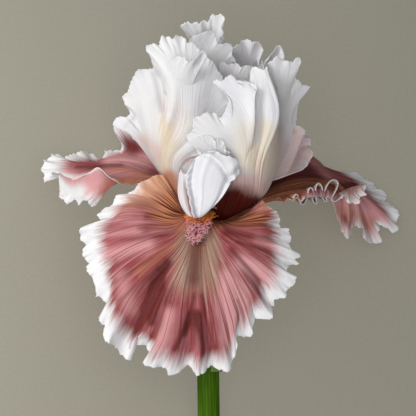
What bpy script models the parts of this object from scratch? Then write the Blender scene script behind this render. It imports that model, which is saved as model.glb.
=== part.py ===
"""Bearded iris flower on its cut stem, laid on its back.

The flower is modelled upright in its own axes: the throat, where the six petals leave the
tube, is the origin, +Y runs up the stem, +Z points along the front fall and +X to its right.
An empty turns these axes over onto the surface: the stem's cut end and the two rear falls
touch it. Every petal, style arm and bract is a thin sheet drawn from a few rows of points,
from its narrow claw to its ruffled margin. The points are in millimetres.
"""
import math

import bmesh
import bpy
import numpy as np

MM = 0.001

# How the flower lies
COLLECTION = "bearded_iris_flower"
THROAT_AT = (-0.0075, 0.02675, 0.04564)
PITCH_DEG = 16.80
ROLL_DEG = -3.32

# Sheet thicknesses and the gap that keeps neighbours apart, in millimetres
PETAL_THICKNESS = 0.65
BRACT_THICKNESS = 0.7
GAP = 0.3

# The petals' bases stand on the tube's rim, one every 60 degrees
RIM_RADIUS = 5.5
RIM_HEIGHT = -7.2
CLAW_HALF_ANGLE = 20.0

# Stem, ovary and tube: distance up the axis and radius
STEM_LENGTH = 142.0
STEM_RADIUS = 4.85
STEM_DRIFT = 0.9
STEM_SIDES = 24
OVARY_RIB = 0.07

# Beard: rows and columns of bristles, their length and that of the low points between them,
# and the gap under the strip
BEARD_ROWS = 16
BEARD_COLUMNS = 7
BEARD_BRISTLE = 2.4
BEARD_LOW = 0.6
BEARD_SEAT = 0.45

# Where a beard begins and ends on its fall, from claw to margin, and its half width
FRONT_BEARD_SPAN = (0.1, 0.34)
REAR_BEARD_SPAN = (0.14, 0.32)
FRONT_BEARD_HALF_WIDTH = 4.4
REAR_BEARD_HALF_WIDTH = 3.2

# Rear style arms, as shares of the front one
STYLE_ROOT = 2.0
REAR_STYLE_REACH = 0.55
REAR_STYLE_RISE = 0.6
REAR_STYLE_WIDTH = 0.9

# Every style arm's foot on the rim of the tube, its thickness and its grid
STYLE_RIM_RADIUS = 2.4
STYLE_ROOT_HEIGHT = -7.6
STYLE_ROOT_ANGLE = 38.0
STYLE_THICKNESS = 0.6
STYLE_GRID = (10, 17)

STAMEN_SIDES = 8

# Ruffles: they grow from none to full height as the ruffled band widens between two widths,
# and over a first and last share of the margin; how far they stretch the margin outwards,
# how far that lags behind their height, and how uneven their spacing is
RUFFLE_ROOM = (2.0, 14.0)
RUFFLE_ENDS = 0.13
RUFFLE_SCALLOP = 1.2
RUFFLE_LEAN = 0.6
RUFFLE_UNEVEN = 0.7

# Rows across a petal, and how closely they are sampled from claw to margin
SHEET_ROWS = (0.0, 0.13, 0.26, 0.4, 0.54, 0.67, 0.78, 0.87, 0.94, 1.0)

# Rows of each petal after its base on the rim, from claw to margin. A row's points are
# evenly shared out between its two ends, and a longer row has more of them.
FRONT_FALL = (
    ((-8.6, -2.6, 6.5), (-7.6, -5.0, 12.5), (-3.2, -5.2, 16.0), (2.0, -5.6, 12.5),
     (6.6, -6.1, 7.9)),
    ((-12.0, 1.5, 8.5), (-15, -4, 17), (-14, -10, 23), (-10.5, -15, 27), (-5.5, -17, 28.5),
     (0.5, -14.5, 27), (6, -11, 23), (10, -7.5, 17), (12.5, -4.4, 9.5)),
    ((-15.2, 7.0, 10), (-25, -0.5, 21), (-27, -14, 28), (-22, -28, 33), (-8, -34, 34.5),
     (6, -28, 34), (16, -18, 29), (18.5, -8, 22), (17.2, -1.4, 10.5)),
    ((-17.6, 11.4, 11), (-35, 1.5, 22), (-41, -21, 27), (-34, -44, 32), (-9, -53, 36),
     (12, -44, 34), (27, -25, 28), (27, -7.5, 21), (21.0, 2.2, 11)),
    ((-19.3, 14.3, 12), (-30.5, 10.2, 17), (-44, 0.2, 19), (-54.5, -13, 20), (-52.5, -29, 22),
     (-47, -46, 27), (-41, -60, 31), (-28, -65, 29), (-11, -71, 31), (5, -70, 32),
     (17, -58, 31), (28.5, -45, 29), (35.5, -31, 25), (37.5, -19, 20), (33.5, -7.5, 17),
     (28.3, -0.8, 14), (23.8, 4.8, 11)),
)
LEFT_FALL = (
    ((-13.0, 3.0, -1.5), (-11.5, 1.5, -6.5), (-9.5, 3.5, -11)),
    ((-17.6, 8.0, 1.2), (-22.0, 12.5, -6), (-23.5, 13.0, -12.5), (-21, 14.5, -18.5),
     (-16, 14.5, -22)),
    ((-21.2, 10.6, 4.2), (-30.5, 14.0, 1), (-38.5, 16.5, -4.5), (-41.5, 18.5, -13),
     (-40, 20, -22), (-33, 21.5, -29), (-22, 20.5, -29)),
    ((-24.4, 12.0, 6.8), (-33.5, 12.6, 5.5), (-44.5, 13.5, 6.5), (-53, 15.2, 0),
     (-58, 16.5, -12), (-56, 19, -24.5), (-49, 21, -37), (-39, 23.5, -42), (-27, 25.5, -35)),
    ((-27.0, 12.0, 8.8), (-32, 10.4, 9.5), (-37.5, 9.8, 11), (-42.5, 6.8, 12),
     (-48, 2.6, 11), (-54, 2.0, 7.5), (-60, 3.4, 0), (-65.5, 7.5, -9), (-72, 13, -19),
     (-72, 21, -26), (-67, 22.5, -33), (-60, 23.2, -41), (-53.5, 24.4, -47), (-47, 23.5, -51),
     (-41.5, 25.5, -51), (-37, 30, -46), (-30, 28, -38)),
)
RIGHT_FALL = (
    ((10.5, 2.5, -11), (12.5, -1.5, -6.5), (13.8, -2.5, -1.5)),
    ((17, 12, -21), (22.5, 10.5, -19), (25.5, 8, -13), (24.5, 4.2, -6), (19, -0.2, -0.5)),
    ((23, 18, -30), (33, 19.5, -33), (41, 17.5, -28), (44.5, 14, -20), (42.5, 10.5, -11.5),
     (34, 6.5, -4), (22.5, 1.2, 1)),
    ((29, 22.5, -38), (45, 20.5, -46), (58, 15, -44), (66, 7.5, -38), (67, 3, -29.5),
     (61, 5.5, -19.5), (54, 8.5, -9.5), (42, 6.0, 0.5), (25, 2.1, 2.4)),
    ((35, 26, -46), (45.5, 22.5, -52.5), (54, 18.5, -55), (61.5, 15.5, -54.5), (69, 13.0, -52),
     (78, 6, -50), (80, 1, -46), (84.5, -6, -40), (76.5, -13, -36), (70, -13.5, -31),
     (65, -11.5, -24), (60.5, -4.5, -16.5), (57.5, 2.5, -9.5), (51.5, 3, -3), (44.5, 2.2, 4),
     (36, 3.2, 7.5), (26.5, 2.6, 3.5)),
)
LEFT_STANDARD = (
    ((-11.0, -0.5, 1.5), (-9.5, -1.0, 4.0), (-7.5, -0.5, 6.5)),
    ((-18.2, 11.0, 4.5), (-18.0, 11.5, 7.0), (-16.0, 10.5, 8.8), (-13.6, 9.5, 9.5),
     (-11.4, 8.6, 9.0)),
    ((-24.5, 20.5, 3), (-24, 23, 9.5), (-20.5, 22.5, 13.5), (-16.5, 21.5, 15.5),
     (-12.4, 17.5, 13.5)),
    ((-31, 29, -1), (-28.5, 33, 6), (-25.5, 35.5, 11.5), (-21, 36, 15.5), (-16.5, 37, 17.5),
     (-11.5, 36, 18.5), (-6, 33.5, 18.5), (-5.5, 28.5, 18), (-8.0, 22.0, 15.5)),
    ((-37, 34.8, -5), (-31.5, 39.5, 0), (-29, 49, 3), (-20, 50.5, 8.5), (-15.5, 55, 14.5),
     (-11, 57, 15), (0, 48.5, 14.5), (4.5, 34.5, 14.5), (-3.5, 23.0, 16.5)),
    ((-41.5, 38, -7), (-38.5, 40.5, -7), (-36.5, 43.8, -6), (-37, 49, -8), (-33.5, 57.5, -9),
     (-27.5, 61.2, -7), (-22.5, 62, 0), (-25.5, 66.3, 6), (-26.8, 71.3, 9), (-19, 75, 8),
     (-10, 74, 7), (-2, 68.5, 8), (5, 60, 8.5), (10.5, 48, 9), (12.5, 37, 9.5),
     (9.0, 28, 13), (2.0, 23.5, 16.5)),
)
RIGHT_STANDARD = (
    ((6.6, -1.8, 8.4), (11.0, -2.8, 7.4), (13.5, -1.5, 2.5)),
    ((9.4, 6.0, 13.5), (14, 5.4, 16), (19, 4.9, 14.5), (22.5, 5.2, 10.5), (24.6, 6.2, 4)),
    ((10.6, 10.5, 15.0), (15, 13.6, 19), (20, 16.5, 18.5), (25.6, 16.5, 15), (29.0, 14.5, 4)),
    ((8.4, 14.2, 18.5), (9.5, 24, 20.5), (13, 29, 22), (18, 31, 21), (22, 31, 19),
     (26.9, 31, 18), (29.5, 29, 12), (32.0, 26.5, 3), (34.5, 25, -5)),
    ((4.6, 16.4, 21.6), (2.2, 28.5, 23.5), (8, 36.5, 23), (14, 42.5, 20.5), (20, 47, 18),
     (29.2, 44, 17), (31.5, 44, 9), (34, 42, 0), (37, 33, -7)),
    ((0.8, 17.5, 22.4), (-4.6, 23.6, 22.8), (-8.0, 30.5, 24.6), (-5.5, 38, 25), (1.5, 42, 23),
     (6.8, 45, 22), (6, 50.5, 21), (4, 56, 20), (11, 57.5, 18), (19, 55, 17),
     (22.5, 61.5, 16), (28.5, 56, 13.5), (28.0, 63.0, 8.5), (38.0, 64.5, 4), (39.5, 57.5, 0),
     (42, 51, -5), (38.5, 38, -8)),
)
BACK_STANDARD = (
    ((4.2, 1.0, -8.8), (0, 0.5, -10.5), (-4.2, 1.0, -8.8)),
    ((14, 8, -12), (8, 10, -17), (0, 11, -19.5), (-8, 11, -17), (-12, 10, -13)),
    ((26, 11.5, -7), (21, 20, -19.5), (3, 25, -28), (-14, 24, -23.5), (-22, 19.5, -12)),
    ((34, 14, -2.5), (38, 25, -12), (31, 35, -23.5), (20, 43, -29.5), (7, 47, -32),
     (-4, 46.5, -31.5), (-14, 44, -28.5), (-23, 37, -22), (-29, 26.5, -12)),
    ((38.5, 15.6, 0.5), (43, 29, -9), (35.5, 42, -20.5), (25.5, 57, -22), (15, 64, -20),
     (6, 67, -18), (-3, 66, -18), (-11.5, 58, -20.5), (-32.5, 32.5, -13.5)),
    ((41, 16.5, 2), (45, 21, -1), (46, 29, -7), (43, 37, -14), (40, 48, -18),
     (36.5, 57, -17.5), (33, 68.5, -15), (25, 72, -13), (16, 74.5, -13), (11, 72.5, -12),
     (7.0, 80, -10), (0, 84.5, -10), (-10.0, 80.5, -8), (-13, 75, -12), (-18.5, 67, -17),
     (-27, 54, -19), (-34, 38, -15)),
)
FRONT_STYLE = (
    ((-5.5, -1.0, 8.5), (-0.8, 1.6, 9.5), (4.0, -0.6, 8.5)),
    ((-8.8, -2.0, 17.0), (-2.2, 1.0, 17.5), (3.6, -0.8, 17.0)),
    ((-8.9, -3.2, 21.5), (-7.8, -3.6, 23.2), (-5.0, -4.2, 24.2), (-1.5, -3.6, 24.0),
     (0.8, -2.4, 23.0)),
    ((-12.6, 3.5, 21.0), (-10.5, 5.5, 22.4), (-6.8, 5.5, 23.2), (0, 5.5, 24.0),
     (7.0, 4.6, 23.4)),
    ((-13.2, 8.5, 19.5), (-10.8, 10.5, 20.6), (-7.6, 11.5, 22.5), (1, 13, 24.5),
     (11.0, 11.0, 23.2)),
    ((-12.8, 12, 18.0), (-12.0, 17.0, 16.5), (-10.4, 14.5, 19.2), (-8.6, 16.5, 21.6),
     (-6.0, 21.0, 24.0), (-0.5, 24.3, 25.5), (7.5, 23.6, 26.0), (13.0, 20.0, 25.5),
     (13.8, 15.0, 24.0)),
)

# Stamens, from the rim out: distance from the axis, height, sideways, half width, half depth
FRONT_STAMEN = (
    (3.9, -7.3, 0.0, 0.8, 0.5), (6.0, -3.8, -0.4, 0.8, 0.5), (9.0, -1.7, -1.0, 0.9, 0.5),
    (10.0, -1.3, -1.2, 1.6, 0.8), (13.5, -1.0, -1.9, 1.7, 0.8), (16.5, -0.9, -2.5, 1.1, 0.5),
)
REAR_STAMEN = (
    (3.9, -7.3, 0.0, 0.8, 0.5), (4.9, -3.0, 0.0, 0.8, 0.5), (7.0, 0.8, 0.0, 0.9, 0.5),
    (7.7, 1.3, 0.0, 1.5, 0.8), (9.7, 4.7, 0.0, 1.6, 0.8), (11.5, 7.8, 0.0, 1.0, 0.6),
)

# Two bracts round the ovary: height, radius and half angle of each section
BRACT_COLUMNS = 9
BRACTS = (
    ("bract_outer", 96.0, ((-72.0, 5.7, 84.0), (-64.0, 6.2, 84.0), (-54.0, 7.6, 82.0),
                           (-44.0, 8.2, 78.0), (-34.0, 7.9, 66.0), (-26.0, 8.0, 44.0),
                           (-19.0, 8.6, 16.0), (-15.0, 9.2, 3.0))),
    ("bract_inner", -84.0, ((-67.0, 5.7, 84.0), (-60.0, 6.4, 84.0), (-52.0, 7.6, 82.0),
                            (-43.0, 8.0, 76.0), (-34.0, 7.7, 62.0), (-28.0, 7.8, 42.0),
                            (-22.0, 8.3, 16.0), (-18.0, 8.8, 3.0))),
)


def clear_scene():
    """Empties the file that Blender opens with."""
    for item in list(bpy.data.objects):
        bpy.data.objects.remove(item, do_unlink=True)


def plain_material(name, colour, roughness):
    """A Principled material of one colour."""
    material = bpy.data.materials.new(name)
    material.use_nodes = True
    shader = material.node_tree.nodes["Principled BSDF"]
    shader.inputs["Base Color"].default_value = (*colour, 1.0)
    shader.inputs["Roughness"].default_value = roughness
    material.diffuse_color = (*colour, 1.0)
    return material


def spline_weights(knots, at):
    """Share of each knot in a natural cubic spline, one line for each place in `at`.

    The second derivatives M solve the usual three-term equations; between knots k and k+1
    the curve is the cubic that has the knots' values and those second derivatives.
    """
    count = len(knots)
    step = np.diff(knots)
    system = np.eye(count)
    source = np.zeros((count, count))
    for k in range(1, count - 1):
        before, after = step[k - 1], step[k]
        system[k, k - 1:k + 2] = before, 2.0 * (before + after), after
        source[k, k - 1:k + 2] = 6.0 / before, -6.0 / before - 6.0 / after, 6.0 / after
    bend = np.linalg.solve(system, source)
    k = np.clip(np.searchsorted(knots, at, side="right") - 1, 0, count - 2)
    left = (at - knots[k])[:, None]
    right = (knots[k + 1] - at)[:, None]
    span = step[k][:, None]
    value = np.eye(count)
    return (bend[k] * (right ** 3 / span - right * span) / 6.0
            + bend[k + 1] * (left ** 3 / span - left * span) / 6.0
            + value[k] * right / span + value[k + 1] * left / span)


def smoothstep(value, low, high):
    """Rises from 0 at `low` to 1 at `high` without a corner."""
    share = np.clip((value - low) / (high - low), 0.0, 1.0)
    return share * share * (3.0 - 2.0 * share)


def rim_row(azimuth_deg, half_angle, radius, height, first_row):
    """Three points on a ring round the axis, in the same order across as the row after them."""
    angles = np.radians(azimuth_deg + half_angle * np.array([-1.0, 0.0, 1.0]))
    rim = np.stack([radius * np.sin(angles), np.full(3, height), radius * np.cos(angles)], axis=1)
    same_way = np.dot(rim[2] - rim[0], np.array(first_row[-1]) - np.array(first_row[0])) > 0.0
    return rim if same_way else rim[::-1]


def petal_rim(azimuth_deg, rows):
    """The part of the tube's rim that a petal stands on."""
    return rim_row(azimuth_deg, CLAW_HALF_ANGLE, RIM_RADIUS, RIM_HEIGHT, rows[0])


class Ruffle:
    """Waves along a petal's margin: how many, how high, and where they begin."""

    def __init__(self, waves, height, reach, seed):
        self.waves = waves
        self.height = height
        self.reach = reach
        draw = np.random.default_rng(seed)
        self.drift = draw.uniform(-1.0, 1.0, 3)
        self.turn = draw.uniform(0.0, 2.0 * math.pi, 5)

    def phase(self, along):
        """Wave phase at a share of the margin's length, a little uneven as in a real petal."""
        steady = 2.0 * math.pi * self.waves * along
        uneven = sum(self.drift[k] * np.sin(2.0 * math.pi * (k + 2) * along + self.turn[k])
                     for k in range(3))
        return steady + RUFFLE_UNEVEN * uneven

    def swell(self, along):
        """Height of the waves there, as a share of the full height."""
        return (0.75 + 0.17 * np.sin(2.0 * math.pi * 3 * along + self.turn[3])
                + 0.17 * np.sin(2.0 * math.pi * 7 * along + self.turn[4]))


def margin_share(margin, across):
    """Share of the margin's length passed at each place across the petal."""
    points = np.array(margin, float)
    length = np.concatenate([[0.0], np.cumsum(np.linalg.norm(np.diff(points, axis=0), axis=1))])
    knots = np.linspace(0.0, 1.0, len(margin))
    return spline_weights(knots, across) @ (length / length[-1])


def ruffle_columns(margin, ruffle):
    """Places across the petal that catch each wave's crest and trough."""
    fine = np.linspace(0.0, 1.0, 2001)
    phase = ruffle.phase(margin_share(margin, fine))
    turns = np.arange(math.ceil(phase[0] / math.pi - 0.5), phase[-1] / math.pi - 0.5)
    crests = np.interp((turns + 0.5) * math.pi, phase, fine)
    inside = crests[(crests > 0.008) & (crests < 0.992)]
    return np.concatenate([[0.0], inside, [1.0]])


def sheet_points(base, rows, along, across, ruffle=None):
    """Points of a petal on a grid, claw to margin by left to right.

    Each row is a spline across the petal, and a second spline joins the rows. Ruffles add
    height * sin(phase) along the normal and scallop * sin(phase + lean) outwards, and fade
    out towards the claw, the margin's two ends, and where the ruffled band is narrow.
    """
    curves = np.array([spline_weights(np.linspace(0.0, 1.0, len(row)), across)
                       @ np.array(row, float) for row in (base, *rows)])
    reach = np.linalg.norm(np.diff(curves, axis=0), axis=2).mean(axis=1)
    knots = np.concatenate([[0.0], np.cumsum(reach)]) / reach.sum()
    points = np.einsum("ur,rvc->uvc", spline_weights(knots, along), curves)
    if ruffle is None:
        return points
    outward = np.gradient(points, along, axis=0)
    sideways = np.gradient(points, across, axis=1)
    normal = np.cross(outward, sideways)
    normal /= np.linalg.norm(normal, axis=2, keepdims=True) + 1e-9
    outward /= np.linalg.norm(outward, axis=2, keepdims=True) + 1e-9
    share = margin_share(rows[-1], across)
    phase = ruffle.phase(share)[None, :]
    ends = smoothstep(across, 0.0, RUFFLE_ENDS) * smoothstep(1.0 - across, 0.0, RUFFLE_ENDS)
    root = spline_weights(knots, np.array([ruffle.reach])) @ curves.transpose(1, 0, 2)
    room = np.linalg.norm(curves[-1] - root[:, 0], axis=1)
    band = smoothstep(room, *RUFFLE_ROOM)
    weight = smoothstep(along, ruffle.reach, 1.0)[:, None] ** 1.5
    weight = weight * (ruffle.swell(share) * ends * band)[None, :]
    lift = ruffle.height * weight * np.sin(phase)
    stretch = RUFFLE_SCALLOP * weight * np.sin(phase + RUFFLE_LEAN)
    return points + normal * lift[..., None] + outward * stretch[..., None]


def sheet_object(name, points, thickness, material, collection):
    """Thin closed sheet: an open surface of triangles with a Solidify modifier."""
    rows, columns, _ = points.shape
    mesh = bpy.data.meshes.new(name)
    number = np.arange(rows * columns).reshape(rows, columns)
    a, b = number[:-1, :-1].ravel(), number[:-1, 1:].ravel()
    c, d = number[1:, 1:].ravel(), number[1:, :-1].ravel()
    faces = np.concatenate([np.stack([a, b, c], axis=1), np.stack([a, c, d], axis=1)])
    mesh.from_pydata((points.reshape(-1, 3) * MM).tolist(), [], faces.tolist())
    mesh.shade_smooth()
    mesh.materials.append(material)
    item = bpy.data.objects.new(name, mesh)
    collection.objects.link(item)
    solid = item.modifiers.new("thickness", "SOLIDIFY")
    solid.thickness = thickness * MM
    solid.offset = 0.0
    return item


def rear_style(azimuth_deg, side):
    """Rows of a style arm over a rear fall: the front arm, shorter and more upright, turned.

    Its distance from the axis shrinks and its height grows with that distance.
    """
    angle = math.radians(azimuth_deg)
    rows = []
    for row in FRONT_STYLE:
        points = np.array(row, float)
        out = STYLE_ROOT + (points[:, 2] - STYLE_ROOT) * REAR_STYLE_REACH
        up = points[:, 1] + REAR_STYLE_RISE * (points[:, 2] - STYLE_ROOT)
        across = points[:, 0] * side * REAR_STYLE_WIDTH
        x = out * math.sin(angle) + across * math.cos(angle)
        z = out * math.cos(angle) - across * math.sin(angle)
        rows.append(np.stack([x, up, z], axis=1))
    return rows


def closed_pad(name, top, bottom, material, collection):
    """Closed body between two grids of points of the same size, one above the other."""
    rows, columns, _ = top.shape
    number = np.arange(rows * columns).reshape(rows, columns)
    rim = np.concatenate([number[0, :-1], number[:-1, -1], number[-1, :0:-1], number[:0:-1, 0]])
    under = rows * columns
    a, b = number[:-1, :-1].ravel(), number[:-1, 1:].ravel()
    c, d = number[1:, 1:].ravel(), number[1:, :-1].ravel()
    cap = np.concatenate([np.stack([a, b, c], axis=1), np.stack([a, c, d], axis=1)])
    after = np.roll(rim, -1)
    wall = np.concatenate([np.stack([rim, rim + under, after + under], axis=1),
                           np.stack([rim, after + under, after], axis=1)])
    faces = np.concatenate([cap, cap[:, ::-1] + under, wall])
    points = np.concatenate([top.reshape(-1, 3), bottom.reshape(-1, 3)]) * MM
    mesh = bpy.data.meshes.new(name)
    mesh.from_pydata(points.tolist(), [], faces.tolist())
    work = bmesh.new()
    work.from_mesh(mesh)
    bmesh.ops.recalc_face_normals(work, faces=work.faces)
    work.to_mesh(mesh)
    work.free()
    mesh.materials.append(material)
    item = bpy.data.objects.new(name, mesh)
    collection.objects.link(item)
    return item


def build_beard(name, base, rows, along, half_width, upward, material, collection):
    """Beard on a fall's midline: a strip whose top rises in rows of bristles.

    Its sole runs a gap above the fall. Every second point of its top, in a chequer, is the
    tip of a bristle and the others lie low between them.
    """
    sole = np.zeros((BEARD_ROWS, BEARD_COLUMNS, 3))
    tips = np.zeros_like(sole)
    clear = PETAL_THICKNESS / 2.0 + BEARD_SEAT
    for k, place in enumerate(np.linspace(*along, BEARD_ROWS)):
        near = np.array([place - 0.01, place, place + 0.01])
        edge = sheet_points(base, rows, near, np.array([0.45, 0.55]))[1]
        width = np.linalg.norm(edge[1] - edge[0]) / 0.1
        taper = math.sin(math.pi * (0.18 + 0.7 * k / (BEARD_ROWS - 1))) ** 0.6
        spread = half_width * taper / width
        across = 0.5 + spread * np.linspace(-1.0, 1.0, BEARD_COLUMNS)
        sheet = sheet_points(base, rows, near, across)
        normal = np.cross(sheet[2] - sheet[0], np.gradient(sheet[1], axis=0))
        normal *= upward / np.linalg.norm(normal, axis=1, keepdims=True)
        bristle = np.where((np.arange(BEARD_COLUMNS) + k) % 2 == 0, BEARD_BRISTLE, BEARD_LOW)
        crown = 1.0 - 0.5 * np.linspace(-1.0, 1.0, BEARD_COLUMNS) ** 2
        sole[k] = sheet[1] + normal * clear
        tips[k] = sole[k] + normal * (bristle * crown)[:, None]
    return closed_pad(name, tips, sole, material, collection)


def build_stamen(name, azimuth_deg, path, material, collection):
    """Stamen: a flat filament that carries a long anther, as one lofted bar."""
    angle = math.radians(azimuth_deg)
    turn = np.linspace(0.0, 2.0 * math.pi, STAMEN_SIDES, endpoint=False)
    rings = []
    for out, up, side, half_width, half_depth in path:
        local = np.stack([side + half_width * np.cos(turn), up + half_depth * np.sin(turn),
                          np.full(STAMEN_SIDES, out)], axis=1)
        x = local[:, 2] * math.sin(angle) + local[:, 0] * math.cos(angle)
        z = local[:, 2] * math.cos(angle) - local[:, 0] * math.sin(angle)
        rings.append(np.stack([x, local[:, 1], z], axis=1))
    return lofted_object(name, np.array(rings), material, collection)


def lofted_object(name, rings, material, collection):
    """Closed body through a list of rings, each with the same number of points."""
    mesh = bpy.data.meshes.new(name)
    work = bmesh.new()
    rows = [[work.verts.new(point * MM) for point in ring] for ring in rings]
    sides = len(rows[0])
    for low, high in zip(rows[:-1], rows[1:]):
        for k in range(sides):
            after = (k + 1) % sides
            work.faces.new((low[k], low[after], high[after], high[k]))
    work.faces.new(rows[0][::-1])
    work.faces.new(rows[-1])
    bmesh.ops.recalc_face_normals(work, faces=work.faces)
    bmesh.ops.triangulate(work, faces=work.faces)
    work.to_mesh(mesh)
    work.free()
    mesh.shade_smooth()
    mesh.set_sharp_from_angle(angle=math.radians(40))
    mesh.materials.append(material)
    item = bpy.data.objects.new(name, mesh)
    collection.objects.link(item)
    return item


def bract_points(azimuth_deg, sections, columns):
    """Points of a boat-shaped bract: each section gives height, radius and half angle."""
    share = np.linspace(-1.0, 1.0, columns)
    rows = []
    for up, radius, half_angle in sections:
        angle = np.radians(azimuth_deg + half_angle * share)
        rows.append(np.stack([radius * np.sin(angle), np.full(columns, up),
                              radius * np.cos(angle)], axis=1))
    return np.array(rows)


def stem_profile():
    """Distance up the axis, radius and rib height of the stem, ovary and tube."""
    top = RIM_HEIGHT - PETAL_THICKNESS / 2.0 - 2.0 * GAP
    return np.array([
        (-STEM_LENGTH, STEM_RADIUS, 0.0),
        (-110.0, STEM_RADIUS, 0.0),
        (-76.0, STEM_RADIUS, 0.0),
        (-62.0, 4.9, 0.0),
        (-56.0, 5.6, 0.4),
        (-48.0, 6.2, 1.0),
        (-38.0, 6.1, 1.0),
        (-31.0, 4.9, 0.5),
        (-26.0, 4.1, 0.1),
        (-19.0, 4.2, 0.0),
        (-12.0, 5.3, 0.0),
        (top - 0.6, 6.1, 0.0),
        (top, 6.0, 0.0),
    ])


def build_stem(material, collection):
    """Stem with its ovary and tube: rings carried up the axis, ribbed three ways at the ovary."""
    profile = stem_profile()
    turn = np.linspace(0.0, 2.0 * math.pi, STEM_SIDES, endpoint=False)
    up, radius, rib = profile[:, 0:1], profile[:, 1:2], profile[:, 2:3]
    around = radius * (1.0 + OVARY_RIB * rib * np.cos(3.0 * turn)[None, :])
    drift = STEM_DRIFT * smoothstep(-up, 60.0, STEM_LENGTH)
    rings = np.stack([around * np.sin(turn) + drift, np.broadcast_to(up, around.shape),
                      around * np.cos(turn)], axis=2)
    return lofted_object("stem", rings, material, collection)


def main():
    clear_scene()
    collection = bpy.data.collections.new(COLLECTION)
    bpy.context.scene.collection.children.link(collection)
    axes = bpy.data.objects.new("flower_axes", None)
    axes.rotation_mode = "YXZ"
    axes.location = THROAT_AT
    axes.rotation_euler = (math.radians(PITCH_DEG), math.radians(ROLL_DEG), 0.0)
    collection.objects.link(axes)
    rose = plain_material("rose_fall", (0.55, 0.24, 0.25), 0.55)
    white = plain_material("white_standard", (0.86, 0.84, 0.86), 0.5)
    green = plain_material("stem_green", (0.16, 0.32, 0.05), 0.5)
    petals = (
        ("fall_front", FRONT_FALL, 0.0, rose, Ruffle(22, 2.4, 0.62, 11)),
        ("fall_left", LEFT_FALL, -120.0, rose, Ruffle(20, 1.5, 0.62, 12)),
        ("fall_right", RIGHT_FALL, 120.0, rose, Ruffle(22, 1.7, 0.62, 13)),
        ("standard_left", LEFT_STANDARD, -60.0, white, Ruffle(20, 1.6, 0.66, 14)),
        ("standard_right", RIGHT_STANDARD, 60.0, white, Ruffle(16, 1.3, 0.66, 15)),
        ("standard_back", BACK_STANDARD, 180.0, white, Ruffle(20, 1.6, 0.66, 16)),
    )
    along = np.array(SHEET_ROWS)
    for name, rows, azimuth, material, ruffle in petals:
        across = ruffle_columns(rows[-1], ruffle)
        points = sheet_points(petal_rim(azimuth, rows), rows, along, across, ruffle)
        sheet_object(name, points, PETAL_THICKNESS, material, collection).parent = axes
    build_stem(green, collection).parent = axes
    styles = (
        ("style_front", FRONT_STYLE, 0.0),
        ("style_left", rear_style(-120.0, -1.0), -120.0),
        ("style_right", rear_style(120.0, 1.0), 120.0),
    )
    for name, rows, azimuth in styles:
        base = rim_row(azimuth, STYLE_ROOT_ANGLE, STYLE_RIM_RADIUS, STYLE_ROOT_HEIGHT, rows[0])
        points = sheet_points(base, rows, *(np.linspace(0.0, 1.0, n) for n in STYLE_GRID))
        sheet_object(name, points, STYLE_THICKNESS, white, collection).parent = axes
    rust = plain_material("beard_rust", (0.6, 0.18, 0.08), 0.8)
    beards = (
        ("beard_front", FRONT_FALL, 0.0, FRONT_BEARD_SPAN, FRONT_BEARD_HALF_WIDTH, 1.0),
        ("beard_left", LEFT_FALL, -120.0, REAR_BEARD_SPAN, REAR_BEARD_HALF_WIDTH, -1.0),
        ("beard_right", RIGHT_FALL, 120.0, REAR_BEARD_SPAN, REAR_BEARD_HALF_WIDTH, -1.0),
    )
    for name, rows, azimuth, span, half_width, upward in beards:
        base = petal_rim(azimuth, rows)
        build_beard(name, base, rows, span, half_width, upward, rust, collection).parent = axes
    cream = plain_material("anther_cream", (0.85, 0.75, 0.5), 0.6)
    build_stamen("stamen_front", 0.0, FRONT_STAMEN, cream, collection).parent = axes
    build_stamen("stamen_left", -120.0, REAR_STAMEN, cream, collection).parent = axes
    build_stamen("stamen_right", 120.0, REAR_STAMEN, cream, collection).parent = axes
    bract = plain_material("bract_green", (0.3, 0.38, 0.12), 0.6)
    for name, azimuth, sections in BRACTS:
        points = bract_points(azimuth, sections, BRACT_COLUMNS)
        sheet_object(name, points, BRACT_THICKNESS, bract, collection).parent = axes


main()
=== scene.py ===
"""Looks of a bearded iris flower, laid on its back on a pale floor.

Every shape below is worked out in the flower's own axes, in millimetres: the throat, where
the petals leave the tube, is the origin, +Y runs up the stem, +Z along the front fall.
"""
import math

import bpy
import numpy as np
from mathutils import Matrix


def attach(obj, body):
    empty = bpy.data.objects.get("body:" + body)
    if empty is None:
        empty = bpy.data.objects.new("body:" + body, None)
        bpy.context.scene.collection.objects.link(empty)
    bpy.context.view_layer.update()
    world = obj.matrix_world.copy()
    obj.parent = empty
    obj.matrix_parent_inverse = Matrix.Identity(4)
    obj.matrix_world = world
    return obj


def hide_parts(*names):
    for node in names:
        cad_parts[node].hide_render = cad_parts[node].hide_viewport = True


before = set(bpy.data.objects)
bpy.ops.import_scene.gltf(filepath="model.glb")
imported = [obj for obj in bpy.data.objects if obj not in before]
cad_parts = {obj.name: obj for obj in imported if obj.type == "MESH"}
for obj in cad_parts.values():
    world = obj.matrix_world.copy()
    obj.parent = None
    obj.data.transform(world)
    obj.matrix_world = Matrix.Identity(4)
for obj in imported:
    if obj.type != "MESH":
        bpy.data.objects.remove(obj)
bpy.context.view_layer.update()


# Stem: the cut green stalk with the swollen, three-lobed ovary and the tube above it. It is
# one fleshy, slightly waxy piece, round below and faintly ribbed lengthwise.
MM = 0.001
THROAT_AT = np.array([-0.0075, 0.02675, 0.04564])
PITCH = math.radians(16.80)
ROLL = math.radians(-3.32)
STEM_RINGS = 220
STEM_SIDES = 72
STEM_LENGTH = 142.0
STEM_DRIFT = 0.9
STRAIGHT_FROM = 60.0
STALK_RIBS = 9.0
STALK_RIB = 0.012
OVARY_RIB = 0.07
PROFILE_SOFTENINGS = 6
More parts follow.
